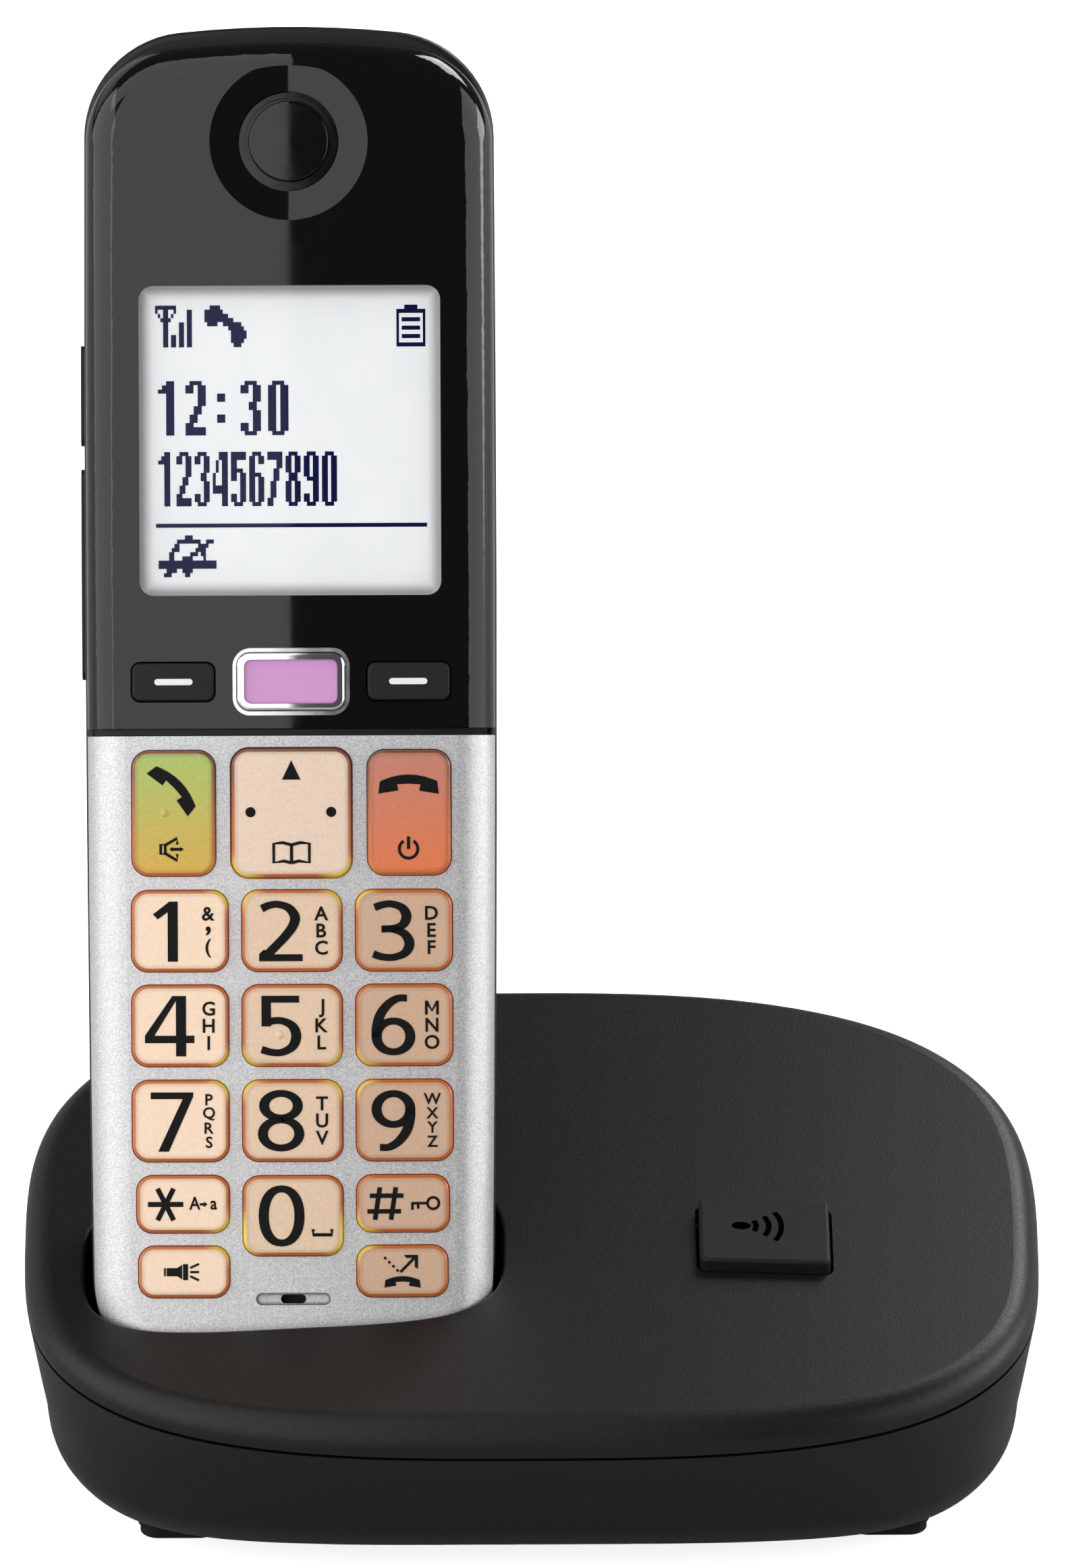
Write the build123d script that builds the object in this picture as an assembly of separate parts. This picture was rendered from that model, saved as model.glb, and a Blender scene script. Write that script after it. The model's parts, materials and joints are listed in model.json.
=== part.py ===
from build123d import *
import math
import os

# A cordless phone standing in its charging base. Millimetres, +Z up, +X to the right of the keypad.
# The pieces are designed about the base's own centre, at floor level, and written out shifted by ORIGIN_Y,
# which puts the row's origin under the middle of the whole object. Handset pieces are designed in handset
# coordinates (x across, y into the handset from its front face, z up its length) and then placed.

# ---------------------------------------------------------------- driving dimensions: base
ORIGIN_Y = -12.8
BASE_HALF_WIDTH = 62.4
BASE_HALF_DEPTH = 47.9
PLAN_EXPONENT = 3.0
BOTTOM_EXPONENT = 4.9
PARTING_Z = 20.75
PARTING_GAP = 0.4
TOP_BACK_HEIGHT = 10.35
TOP_SLOPE = 3.4
TOP_CROWN_RADIUS = 790.0
TOP_EDGE_RADIUS = 3.4
BOTTOM_Z = 1.3
SIDE_TAPER = 2.45
FRONT_TAPER = 2.2
SIDE_ROUND = 10.8
FRONT_ROUND = 16.0
ROUND_HEIGHT = 10.0
BASE_WALL = 2.0
BOARD_Z = 5.2
BOARD_THICKNESS = 1.6
BOSS_PLACES = [(-33.0, -24.0), (33.0, -24.0), (-33.0, 24.0), (33.0, 24.0)]
FOOT_X = 43.4
FOOT_Y = 26.9
LOCATOR_X = 28.5
LOCATOR_Y = -8.1
LOCATOR_WIDTH = 16.0
LOCATOR_DEPTH = 13.4
LOCATOR_RISE = 1.65
LOCATOR_GAP = 0.4
LINE_SOCKET_X = 14.0
LINE_SOCKET_WIDTH = 12.0
LINE_SOCKET_BACK = 42.3
POWER_SOCKET_X = 33.0
POWER_SOCKET_SIZE = 9.0
POWER_SOCKET_BACK = 39.3
SOCKET_TOP_Z = 20.3
SOCKET_Z = BOARD_Z + BOARD_THICKNESS

# ---------------------------------------------------------------- driving dimensions: handset
LEAN = 30.0
HANDSET_X = -29.2
HANDSET_Y = -29.15
HANDSET_Z = 17.4
LENGTH = 168.0
HALF_WIDTH_BOTTOM = 24.4
HALF_WIDTH_MIDDLE = 25.15
HALF_WIDTH_TOP = 25.0
TOP_CREST = 2.4
TOP_CORNER_RADIUS = 13.0
BOTTOM_CORNER_RADIUS = 15.0
THICKNESS = 24.0
FRONT_CROWN = 250.0
BACK_CROWN = 90.0
BACK_EDGE_RADIUS = 6.0
SHOULDER_RADIUS = 0.9
PANEL_DEPTH = 7.5
PANEL_SIDE_STEP = 0.25
PANEL_TOP_STEP = 1.8
PANEL_EDGE_RADIUS = 5.0
WALL = 2.0
GROOVE_LOW = 81.2
GROOVE_HIGH = 82.1
KEY_RISE = 0.8
KEY_GAP = 0.15
KEY_EDGE_RADIUS = 0.5
FLANGE_TOP = 3.05
FLANGE_BOTTOM = 3.65
MAT_FRONT = 4.7
BOARD_FRONT = 5.5
BOARD_BACK = 6.7
COLUMN_X = 13.65
ROW_U = [57.45, 45.9, 34.3]
NAV_U = 71.8
SOFT_U = 87.8
SOFT_X = 14.35
SCREEN_U = 117.2
SCREEN_WIDTH = 36.8
SCREEN_HEIGHT = 37.8
EAR_U = 153.7
EAR_DISH_RADIUS = 9.65
EAR_DISH_DEPTH = 1.1
EAR_DISH_STEP = 0.2
EAR_HOLE_RADIUS = 6.1
EAR_DISC_RADIUS = 4.9
EAR_DISC_DEPTH = 1.0
MIC_U = 12.55
CELL_RADIUS = 5.25
CELL_LENGTH = 44.5
CELL_X = 5.6
CELL_Y = 16.3
CELL_U = 53.0
DOOR_LOW = 46.0
DOOR_HIGH = 104.0
DOOR_HALF_WIDTH = 13.5
SIDE_KEY_Y = 12.0
SIDE_KEY_PROUD = 0.45
SCREW_PLACES = [(-17.2, 17.0), (17.2, 17.0), (-17.2, 142.0), (17.2, 142.0)]
SCREW_SEAT_DEPTH = 5.0
CONTACT_X = 7.0
CONTACT_Y = 13.0
WELL_GAP_FRONT = 1.2
WELL_GAP_BACK = 0.9
WELL_HALF_WIDTH = 25.6
WELL_EXPONENT = 3.45
WELL_SEAT_GAP = 0.25
WELL_WALL = 1.4

PARTS = {}
HANDSET_PLACE = Location((HANDSET_X, HANDSET_Y, HANDSET_Z), (-LEAN, 0, 0))


def keep(name, shape, in_handset=False):
    """Store a finished piece, moved from its design frame to the row's frame."""
    if in_handset:
        shape = HANDSET_PLACE * shape
    PARTS[name] = Pos(0, ORIGIN_Y, 0) * shape


def group(shapes):
    """Several separate solids that share one node."""
    return Compound([solid for shape in shapes for solid in shape.solids()])


# ---------------------------------------------------------------- shared shapes
def superellipse(half_x, half_y, exponent, count=24):
    points = []
    for i in range(count):
        angle = 2 * math.pi * i / count
        c = math.cos(angle)
        s = math.sin(angle)
        reach = (abs(c) ** exponent + abs(s) ** exponent) ** (-1 / exponent)
        points.append((half_x * c * reach, half_y * s * reach))
    return make_face(Spline(*points, periodic=True))


def plan_prism(sketch, z_low, z_high):
    return Pos(0, 0, z_low) * extrude(sketch, z_high - z_low)


def slab(sketch, y_front, y_back):
    """A front-view sketch (x, u) as a handset solid between two depths."""
    return Pos(0, y_back, 0) * extrude(Plane.XZ * sketch, y_back - y_front)


def at(x, u, sketch):
    return Pos(x, u) * sketch


# ---------------------------------------------------------------- base shells
def under_top(drop):
    """Everything below the base's crowned, forward-sloping top, lowered by drop."""
    reach = 80.0
    run = 150.0
    sag = reach ** 2 / (2 * TOP_CROWN_RADIUS)
    arc = ThreePointArc((-reach, -sag), (0, 0), (reach, -sag))
    rest = Polyline((reach, -sag), (reach, -60), (-reach, -60), (-reach, -sag))
    block = Pos(0, 20, 0) * extrude(Plane.XZ * make_face(arc + rest), run)
    back_edge = Pos(0, BASE_HALF_DEPTH, PARTING_Z + TOP_BACK_HEIGHT - drop)
    return back_edge * Rot(TOP_SLOPE, 0, 0) * block


def bowl(wall):
    """The lower shell's solid form, or its inside when wall is not zero."""
    low = BOTTOM_Z + wall
    turn_z = BOTTOM_Z + ROUND_HEIGHT
    sections = []
    for part in (-0.5, -0.25, 0.0, 0.25, 0.5, 0.75, 1.0):
        z = PARTING_Z + (turn_z - PARTING_Z) * part
        exponent = PLAN_EXPONENT + (BOTTOM_EXPONENT - PLAN_EXPONENT) * 0.5 * part
        half_x = BASE_HALF_WIDTH - SIDE_TAPER * part - wall
        half_y = BASE_HALF_DEPTH - FRONT_TAPER * part - wall
        sections.append(Pos(0, 0, z) * superellipse(half_x, half_y, exponent))
    for degrees in range(15, 91, 15):
        angle = math.radians(degrees)
        share = 0.5 + 0.5 * degrees / 90
        exponent = PLAN_EXPONENT + (BOTTOM_EXPONENT - PLAN_EXPONENT) * share
        fall = 1 - math.cos(angle)
        half_x = BASE_HALF_WIDTH - SIDE_TAPER - wall - (SIDE_ROUND - wall) * fall
        half_y = BASE_HALF_DEPTH - FRONT_TAPER - wall - (FRONT_ROUND - wall) * fall
        z = turn_z - (turn_z - low) * math.sin(angle)
        sections.append(Pos(0, 0, z) * superellipse(half_x, half_y, exponent))
    return loft(sections)


def well_section(extra):
    """Section of the cradle well across the handset's length, grown by extra."""
    depth = THICKNESS + WELL_GAP_FRONT + WELL_GAP_BACK
    middle = (THICKNESS + WELL_GAP_BACK - WELL_GAP_FRONT) / 2
    shape = superellipse(WELL_HALF_WIDTH + extra, depth / 2 + extra, WELL_EXPONENT)
    return Pos(0, middle) * shape


def well_prism(extra, seat):
    """The well as a solid in handset coordinates, from its seat to above the base."""
    return Pos(0, 0, seat) * extrude(well_section(extra), 60 - seat)


def contact_window(side, extra):
    return Pos(side * CONTACT_X, CONTACT_Y, 0) * Box(3.0 + extra, 1.6 + extra, 12)


def locator_outline(extra):
    shape = RectangleRounded(LOCATOR_WIDTH + 2 * extra, LOCATOR_DEPTH + 2 * extra, 1.0 + extra)
    return Pos(LOCATOR_X, LOCATOR_Y) * shape


def make_base_top():
    plan = superellipse(BASE_HALF_WIDTH, BASE_HALF_DEPTH, PLAN_EXPONENT)
    low = PARTING_Z + PARTING_GAP / 2
    outer = plan_prism(plan, low, 60) & under_top(0)
    rim = [e for e in outer.edges() if e.center().Z > low + 2 and e.length > 60]
    outer = fillet(rim, TOP_EDGE_RADIUS)
    inner_plan = superellipse(BASE_HALF_WIDTH - BASE_WALL, BASE_HALF_DEPTH - BASE_WALL, PLAN_EXPONENT)
    inside = plan_prism(inner_plan, 0, 60) & under_top(BASE_WALL)
    shell = outer - inside
    shell -= plan_prism(locator_outline(LOCATOR_GAP), 15, 60)
    tub = (HANDSET_PLACE * well_prism(WELL_WALL, -WELL_SEAT_GAP - WELL_WALL)) & under_top(1.0)
    cover = shell + tub
    for x, y in BOSS_PLACES:
        boss = plan_prism(Pos(x, y) * Circle(3.0), SOCKET_Z - BOARD_THICKNESS, 45) & under_top(1.0)
        cover += boss
    cover -= HANDSET_PLACE * well_prism(0, -WELL_SEAT_GAP)
    loops = [e for e in cover.edges() if 120 < e.length < 200]
    lip = max(loops, key=lambda e: e.center().Z)
    cover = fillet([lip], 0.5)
    for side in (-1, 1):
        cover -= HANDSET_PLACE * contact_window(side, 0.6)
    for x, y in BOSS_PLACES:
        cover -= plan_prism(Pos(x, y) * Circle(1.15), 0, 14)
    return cover


def make_base_bottom():
    top = PARTING_Z - PARTING_GAP / 2
    shell = bowl(0) - bowl(BASE_WALL)
    shell = shell - plan_prism(Rectangle(200, 200), top, 60)
    rib_outer = superellipse(BASE_HALF_WIDTH - 2.15, BASE_HALF_DEPTH - 2.15, PLAN_EXPONENT)
    rib_inner = superellipse(BASE_HALF_WIDTH - 3.4, BASE_HALF_DEPTH - 3.4, PLAN_EXPONENT)
    shell += plan_prism(rib_outer - rib_inner, PARTING_Z - 5.0, PARTING_Z + 1.6)
    for seat in foot_pads(BOTTOM_Z, BOTTOM_Z + 3.2, 0):
        shell += seat
    for x, y in BOSS_PLACES:
        shell += plan_prism(Pos(x, y) * Circle(4.2), BOTTOM_Z + 0.5, BOARD_Z)
    for x, y in BOSS_PLACES:
        shell -= plan_prism(Pos(x, y) * Circle(2.6), 0, BOTTOM_Z + 2.0)
        shell -= plan_prism(Pos(x, y) * Circle(1.4), 0, BOARD_Z + 1)
    shell -= socket_notch(LINE_SOCKET_X, LINE_SOCKET_WIDTH, LINE_SOCKET_BACK)
    shell -= socket_notch(POWER_SOCKET_X, POWER_SOCKET_SIZE, POWER_SOCKET_BACK)
    around_tub = HANDSET_PLACE * well_prism(WELL_WALL + 0.3, -WELL_SEAT_GAP - WELL_WALL - 0.3)
    return shell - around_tub


def socket_notch(x, width, y_back):
    """Space for a socket in the rear wall, open at the top where the upper cover closes it."""
    depth = 30.0
    height = 20.0
    clearance = 0.4
    notch = Box(width + 2 * clearance, depth, height)
    return Pos(x, y_back - 4.0 + depth / 2, SOCKET_Z - clearance + height / 2) * notch


def foot_pads(z_low, z_high, inset):
    pads = []
    for side_x in (-1, 1):
        for side_y in (-1, 1):
            pad = RectangleRounded(10.0 - 2 * inset, 12.0 - 2 * inset, 2.5 - inset)
            pads.append(plan_prism(Pos(side_x * FOOT_X, side_y * FOOT_Y) * pad, z_low, z_high))
    return pads


def make_feet():
    return group(foot_pads(0, BOTTOM_Z, 0.3))


def make_base_screws():
    screws = []
    for x, y in BOSS_PLACES:
        head = plan_prism(Pos(x, y) * Circle(2.3), BOTTOM_Z + 0.4, BOTTOM_Z + 2.0)
        shank = plan_prism(Pos(x, y) * Circle(1.1), BOTTOM_Z + 1.9, 12.5)
        slot = Pos(x, y, BOTTOM_Z + 0.4) * (Box(3.0, 0.7, 1.4) + Box(0.7, 3.0, 1.4))
        screws.append(head + shank - slot)
    return group(screws)


# ---------------------------------------------------------------- base electronics
def make_base_board():
    area = superellipse(53.0, 38.3, 4.0) & (Pos(26.5, 0) * Rectangle(49, 90))
    board = plan_prism(area, BOARD_Z, SOCKET_Z)
    for x, y in BOSS_PLACES:
        board -= plan_prism(Pos(x, y) * Circle(3.4), 0, 20)
    return board


def make_line_socket():
    """A 6-position modular telephone jack: shell with a stepped plug cavity open to the rear."""
    height = SOCKET_TOP_Z - SOCKET_Z
    depth = 13.0
    middle_y = LINE_SOCKET_BACK - depth / 2
    cavity_y = LINE_SOCKET_BACK - 4.5
    body = Pos(LINE_SOCKET_X, middle_y, SOCKET_Z + height / 2) * Box(LINE_SOCKET_WIDTH, depth, height)
    cavity = Pos(LINE_SOCKET_X, cavity_y, SOCKET_Z + 5.2) * Box(9.8, 11.0, 6.8)
    latch_slot = Pos(LINE_SOCKET_X, cavity_y, SOCKET_Z + 9.0) * Box(3.4, 11.0, 2.4)
    return body - cavity - latch_slot


def make_power_socket():
    """A 5.5 mm barrel inlet with its centre pin."""
    depth = 12.0
    height = SOCKET_TOP_Z - SOCKET_Z
    barrel_z = SOCKET_Z + 5.0
    middle_y = POWER_SOCKET_BACK - depth / 2
    body = Pos(POWER_SOCKET_X, middle_y, SOCKET_Z + height / 2) * Box(POWER_SOCKET_SIZE, depth, height)
    bore = Pos(POWER_SOCKET_X, POWER_SOCKET_BACK, barrel_z) * (Rot(90, 0, 0) * Cylinder(2.9, 18.0))
    pin = Pos(POWER_SOCKET_X, POWER_SOCKET_BACK - 6.0, barrel_z) * (Rot(90, 0, 0) * Cylinder(0.95, 9.0))
    return body - bore + pin


def make_locator_switch():
    body = Pos(LOCATOR_X, LOCATOR_Y, SOCKET_Z + 1.75) * Box(6.0, 6.0, 3.5)
    plunger = plan_prism(Pos(LOCATOR_X, LOCATOR_Y) * Circle(1.7), SOCKET_Z + 3.4, SOCKET_Z + 6.2)
    return body + plunger


def make_locator_button():
    rise_limit = under_top(-LOCATOR_RISE)
    key = plan_prism(locator_outline(0), 24.2, 60) & rise_limit
    top_edges = [e for e in key.edges() if e.center().Z > 27.8 and e.length > 0.5]
    key = fillet([e for e in top_edges if e.bounding_box().size.Z < 1.5], 0.45)
    flange = plan_prism(locator_outline(1.3), 23.2, 24.4)
    stem = plan_prism(Pos(LOCATOR_X, LOCATOR_Y) * Circle(2.2), SOCKET_Z + 7.4, 23.4)
    return key + flange + stem


def make_base_antenna():
    """The base's bent sheet-metal antenna, standing on the board's right edge."""
    upright = Pos(48.4, 4, SOCKET_Z + 4.0) * Box(0.5, 26, 7.0)
    arm = Pos(45.0, 15.6, SOCKET_Z + 7.25) * Box(7.0, 2.8, 0.5)
    antenna = upright + arm
    for y in (-6, 12):
        antenna += Pos(48.4, y, SOCKET_Z + 0.5) * Box(0.5, 2, 1.0)
    return antenna


def make_rf_shield():
    can = Pos(14, 6, SOCKET_Z + 1.6) * Box(20, 22, 3.2)
    return can - Pos(14, 6, SOCKET_Z + 1.2) * Box(19.2, 21.2, 3.2)


def make_capacitors():
    places = [(10, -14, 4.0, 9.0), (20, -20, 3.2, 8.0), (40, -14, 3.2, 7.0)]
    return group([plan_prism(Pos(x, y) * Circle(r), SOCKET_Z, SOCKET_Z + h) for x, y, r, h in places])


def make_charge_contact(side):
    """One sprung charging contact: a rounded tip through the seat and a leaf under it."""
    x = side * CONTACT_X
    tip = Pos(x, CONTACT_Y, -2.0) * Box(3.0, 1.6, 3.7)
    tip = fillet(tip.edges().filter_by(Axis.X).group_by(Axis.Z)[-1], 0.7)
    leaf = Pos(x, CONTACT_Y + 1.6, -3.9) * Box(3.0, 4.8, 0.5)
    return tip + leaf


# ---------------------------------------------------------------- handset shells
def outline(side=0.0, top=0.0, bottom=0.0):
    """Front view of the handset, drawn in by the given amounts."""
    tip = LENGTH - top
    foot = bottom
    shoulder = tip - TOP_CREST
    right = ThreePointArc((HALF_WIDTH_BOTTOM - side, foot), (HALF_WIDTH_MIDDLE - side, LENGTH / 2),
                          (HALF_WIDTH_TOP - side, shoulder))
    crest = ThreePointArc((HALF_WIDTH_TOP - side, shoulder), (0, tip), (-HALF_WIDTH_TOP + side, shoulder))
    left = ThreePointArc((-HALF_WIDTH_TOP + side, shoulder), (-HALF_WIDTH_MIDDLE + side, LENGTH / 2),
                         (-HALF_WIDTH_BOTTOM + side, foot))
    base = Line((-HALF_WIDTH_BOTTOM + side, foot), (HALF_WIDTH_BOTTOM - side, foot))
    face = make_face(right + crest + left + base)
    corners = face.vertices().sort_by(Axis.Y)
    least = 3.0
    follow = 0.7
    rounded_face = fillet(corners[-2:], max(least, TOP_CORNER_RADIUS - max(top, side) * follow))
    feet = rounded_face.vertices().sort_by(Axis.Y)[:2]
    return fillet(feet, max(least, BOTTOM_CORNER_RADIUS - bottom * follow))


def crown_block(radius, depth, facing):
    """The solid behind the front crown (facing 1) or in front of the back crown (facing -1)."""
    reach = 45.0
    sag = radius - math.sqrt(radius ** 2 - reach ** 2)
    arc = ThreePointArc((-reach, depth + facing * sag), (0, depth), (reach, depth + facing * sag))
    far = depth + facing * 80
    rest = Polyline((reach, depth + facing * sag), (reach, far), (-reach, far), (-reach, depth + facing * sag))
    return Pos(0, 0, -10) * extrude(make_face(arc + rest), LENGTH + 20)


def behind_front(depth):
    return crown_block(FRONT_CROWN, depth, 1)


def before_back(depth):
    return crown_block(BACK_CROWN, THICKNESS - depth, -1)


def make_front_shell():
    face = outline(PANEL_SIDE_STEP, PANEL_TOP_STEP)
    outer = slab(face, -5, PANEL_DEPTH) & behind_front(0)
    outer = fillet(front_loop(outer), PANEL_EDGE_RADIUS)
    inner_face = outline(PANEL_SIDE_STEP + WALL, PANEL_TOP_STEP + WALL, WALL)
    inner = slab(inner_face, -5, PANEL_DEPTH + 1) & behind_front(WALL)
    inner = fillet(front_loop(inner), PANEL_EDGE_RADIUS - WALL)
    return outer - inner


def front_loop(solid):
    """Edges of the curved front face of a solid whose back is flat."""
    return [e for e in solid.edges() if e.bounding_box().max.Y < PANEL_DEPTH - 2.5]


def back_loop(solid):
    """Edges of the curved back face of a solid whose front is flat."""
    return [e for e in solid.edges() if e.bounding_box().min.Y > PANEL_DEPTH + 6.0]


def key_outline(key, extra):
    x, u, width, height, radius = key
    return at(x, u, RectangleRounded(width + 2 * extra, height + 2 * extra, radius + extra))


# name: (x, u, width, height, corner radius)
KEYS = {}
for row in range(3):
    for column in range(3):
        width = 12.1 if column == 1 else 11.7
        KEYS[f"key_{3 * row + column + 1}"] = ((column - 1) * COLUMN_X, ROW_U[row], width, 9.83, 2.0)
KEYS["key_0"] = (0, 22.7, 12.1, 9.65, 2.0)
KEYS["key_star"] = (-13.4, 24.15, 11.2, 6.9, 1.9)
KEYS["key_hash"] = (13.4, 24.15, 11.2, 6.9, 1.9)
KEYS["torch_key"] = (-13.3, 15.9, 11.0, 6.2, 1.9)
KEYS["call_block_key"] = (13.3, 15.9, 11.0, 6.2, 1.9)
KEYS["talk_key"] = (-14.35, NAV_U, 10.1, 15.2, 2.1)
KEYS["off_key"] = (14.35, NAV_U, 10.1, 15.2, 2.1)
NAV_KEY = (0, NAV_U, 14.5, 15.6, 2.1)
SOFT_KEYS = {
    "soft_key_left": (-SOFT_X, SOFT_U, 10.0, 4.6, 1.0),
    "soft_key_right": (SOFT_X, SOFT_U, 10.0, 4.6, 1.0),
}
CENTRE_RING = (0, SOFT_U, 13.35, 7.25, 1.7)
CENTRE_INSERT = (0, SOFT_U, 11.4, 5.4, 0.9)


def make_lower_panel(shell):
    cut_off = Pos(0, 0, GROOVE_LOW + 100) * Box(80, 80, 200)
    panel = shell - cut_off
    for key in KEYS.values():
        panel -= slab(key_outline(key, KEY_GAP), -6, 12)
    panel -= slab(key_outline(NAV_KEY, 0.25), -6, 12)
    slot = at(0, MIC_U, RectangleRounded(9.1, 1.5, 0.74))
    hole = at(0, MIC_U, RectangleRounded(3.05, 1.1, 0.5))
    return panel - slab(slot, -6, 0.7) - slab(hole, -6, 12)


def make_upper_panel(shell):
    cut_off = Pos(0, 0, GROOVE_HIGH - 100) * Box(80, 80, 200)
    panel = shell - cut_off
    panel -= slab(at(0, SCREEN_U, RectangleRounded(SCREEN_WIDTH, SCREEN_HEIGHT, 1.75)), -6, 12)
    for key in SOFT_KEYS.values():
        panel -= slab(key_outline(key, 0.2), -6, 12)
    panel -= slab(key_outline(CENTRE_RING, 0.48), -6, 12)
    cone = Cone(EAR_DISH_RADIUS, EAR_HOLE_RADIUS, EAR_DISH_DEPTH - EAR_DISH_STEP)
    cone = Pos(0, (EAR_DISH_STEP + EAR_DISH_DEPTH) / 2, EAR_U) * (Rot(-90, 0, 0) * cone)
    mouth = round_piece(0, -3, EAR_DISH_STEP, EAR_U, EAR_DISH_RADIUS)
    hole = round_piece(0, -3, PANEL_DEPTH, EAR_U, EAR_HOLE_RADIUS)
    return panel - cone - mouth - hole


def make_inner_frame():
    """Ring inside both front panels, the thin bulkhead seen in the groove, and the screw lugs."""
    outer = outline(2.45, 4.0, 2.2)
    inner = outline(3.95, 5.5, 3.7)
    ring = slab(outer - inner, 5.9, 9.5)
    middle = (GROOVE_LOW + GROOVE_HIGH) / 2
    wall = slab(at(0, middle, Rectangle(60, 0.74)), -5, PANEL_DEPTH - 0.1) & slab(outline(1.2), -5, 12)
    wall = wall & behind_front(1.0)
    wall -= Pos(0, MAT_FRONT + 15 - 0.1, middle) * Box(41.4, 30, 5)
    frame = ring + wall
    for x, u in SCREW_PLACES:
        frame += round_piece(x, 6.9, 9.5, u, 4.2) & slab(outer, -5, 20)
    for x, u in SCREW_PLACES:
        frame -= round_piece(x, 3.2, 13.2, u, 0.95)
    return frame


def door_outline(extra):
    middle = (DOOR_LOW + DOOR_HIGH) / 2
    shape = RectangleRounded(2 * DOOR_HALF_WIDTH + 2 * extra, DOOR_HIGH - DOOR_LOW + 2 * extra, 2.5 + extra)
    return at(0, middle, shape)


def make_rear_case():
    outer = slab(outline(), PANEL_DEPTH, THICKNESS + 5) & before_back(0)
    outer = fillet(back_loop(outer), BACK_EDGE_RADIUS)
    shoulder = [e for e in outer.edges() if e.bounding_box().max.Y < PANEL_DEPTH + 0.01]
    outer = fillet(shoulder, SHOULDER_RADIUS)
    inner = slab(outline(WALL, WALL, WALL), PANEL_DEPTH - 1, THICKNESS + 5) & before_back(WALL)
    inner = fillet(back_loop(inner), BACK_EDGE_RADIUS - 1.8)
    case = outer - inner
    tray_outer = slab(door_outline(1.4), 10.0, THICKNESS + 5) & before_back(0.8)
    tray_inner = slab(door_outline(-0.6), 11.0, THICKNESS + 6)
    case += tray_outer
    case -= tray_inner
    case -= slab(door_outline(0.2), THICKNESS - 3.2, THICKNESS + 6)
    for x, u in SCREW_PLACES:
        case += slab(at(x, u, Circle(3.0)), 9.55, THICKNESS + 2) & before_back(1.0)
    for side in (-1, 1):
        case -= Pos(side * CONTACT_X, CONTACT_Y, 1) * Box(5.2, 3.2, 6)
    for x, u in SCREW_PLACES:
        case -= slab(at(x, u, Circle(2.2)), THICKNESS - SCREW_SEAT_DEPTH, THICKNESS + 4)
        case -= slab(at(x, u, Circle(1.15)), 5, THICKNESS + 4)
    for step in range(5):
        case -= slab(at(0, 124.0 + 2.6 * step, RectangleRounded(14.0, 1.3, 0.6)), 15, THICKNESS + 4)
    case -= Pos(0, 13.0, LENGTH) * Cylinder(2.6, 12)
    case -= slab_side(UPPER_SIDE_KEY, 0.15, -30, -15)
    case -= slab_side(VOLUME_KEY, 0.3, -30, -15)
    return case


# side keys on the left edge: (u centre, length, height across the edge)
UPPER_SIDE_KEY = (122.95, 12.3, 3.6)
VOLUME_KEY = (101.05, 25.8, 3.6)


def slab_side(key, extra, x_low, x_high):
    u, length, height = key
    face = Plane.YZ * (Pos(SIDE_KEY_Y, u) * RectangleRounded(height + 2 * extra, length + 2 * extra, 1.5))
    return Pos(x_low, 0, 0) * extrude(face, x_high - x_low)


def make_side_key(key):
    u, length, height = key
    reach = slab(outline(-SIDE_KEY_PROUD), -5, 30)
    body = slab_side(key, 0, -32, -21.6) & reach
    flange = slab_side((u, length + 1.6, height + 1.4), 0, -22.3, -21.5)
    return body + flange


def make_battery_door():
    door = slab(door_outline(0), -5, THICKNESS + 6) & before_back(0)
    door = door - before_back(1.6)
    grip = Part()
    for step in range(4):
        grip += slab(at(0, DOOR_HIGH - 6.0 - 2.2 * step, RectangleRounded(9.0, 0.9, 0.44)), THICKNESS - 0.45,
                     THICKNESS + 4)
    return door - grip


# ---------------------------------------------------------------- handset inner pieces
def make_cells():
    cells = []
    for side in (-1, 1):
        can = Cylinder(CELL_RADIUS, CELL_LENGTH - 1.0)
        tip = Pos(0, 0, side * (CELL_LENGTH / 2 - 0.3)) * Cylinder(1.9, 1.4)
        cells.append(Pos(side * CELL_X, CELL_Y, CELL_U + CELL_LENGTH / 2) * (can + tip))
    return group(cells)


def make_springs():
    """The two negative-end contact springs, wound from 0.5 mm wire."""
    springs = []
    for side in (-1, 1):
        helix = Helix(pitch=1.5, height=4.2, radius=2.6)
        wire = Plane(origin=helix @ 0, z_dir=helix % 0) * Circle(0.25)
        coil = sweep(wire, path=helix)
        if side == 1:
            place = CELL_U - 5.2
        else:
            place = CELL_U + CELL_LENGTH + 0.4
        springs.append(Pos(side * CELL_X, CELL_Y, place) * coil)
    return group(springs)


def make_battery_plates():
    """Sheet-metal end plates of the battery tray: one bridge at the top, two tabs at the bottom."""
    low = DOOR_LOW + 1.1
    high = DOOR_HIGH - 1.1
    bridge = Pos(0, CELL_Y, high) * Box(21.5, 8.0, 0.4)
    tabs = [Pos(side * CELL_X, CELL_Y, low) * Box(8.6, 8.0, 0.4) for side in (-1, 1)]
    return group([bridge] + tabs)


def make_handset_board():
    board = slab(outline(4.6, 30.0, 6.0), BOARD_FRONT, BOARD_BACK)
    return board - Pos(0, 6, (GROOVE_LOW + GROOVE_HIGH) / 2) * (Box(60, 4, 1.2) - Box(41.0, 5, 2))


def make_keypad_mat():
    mat = slab(at(0, 50.6, RectangleRounded(40.0, 81.0, 2.0)), MAT_FRONT, BOARD_FRONT)
    mat -= slab(at(0, 11.0, Rectangle(9.0, 10.8)), 0, 10)
    return mat & slab(outline(4.2), 0, 10)


def make_lcd_module():
    return slab(at(0, SCREEN_U, RectangleRounded(39.6, 43.0, 1.0)), 3.05, 4.3)


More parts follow.
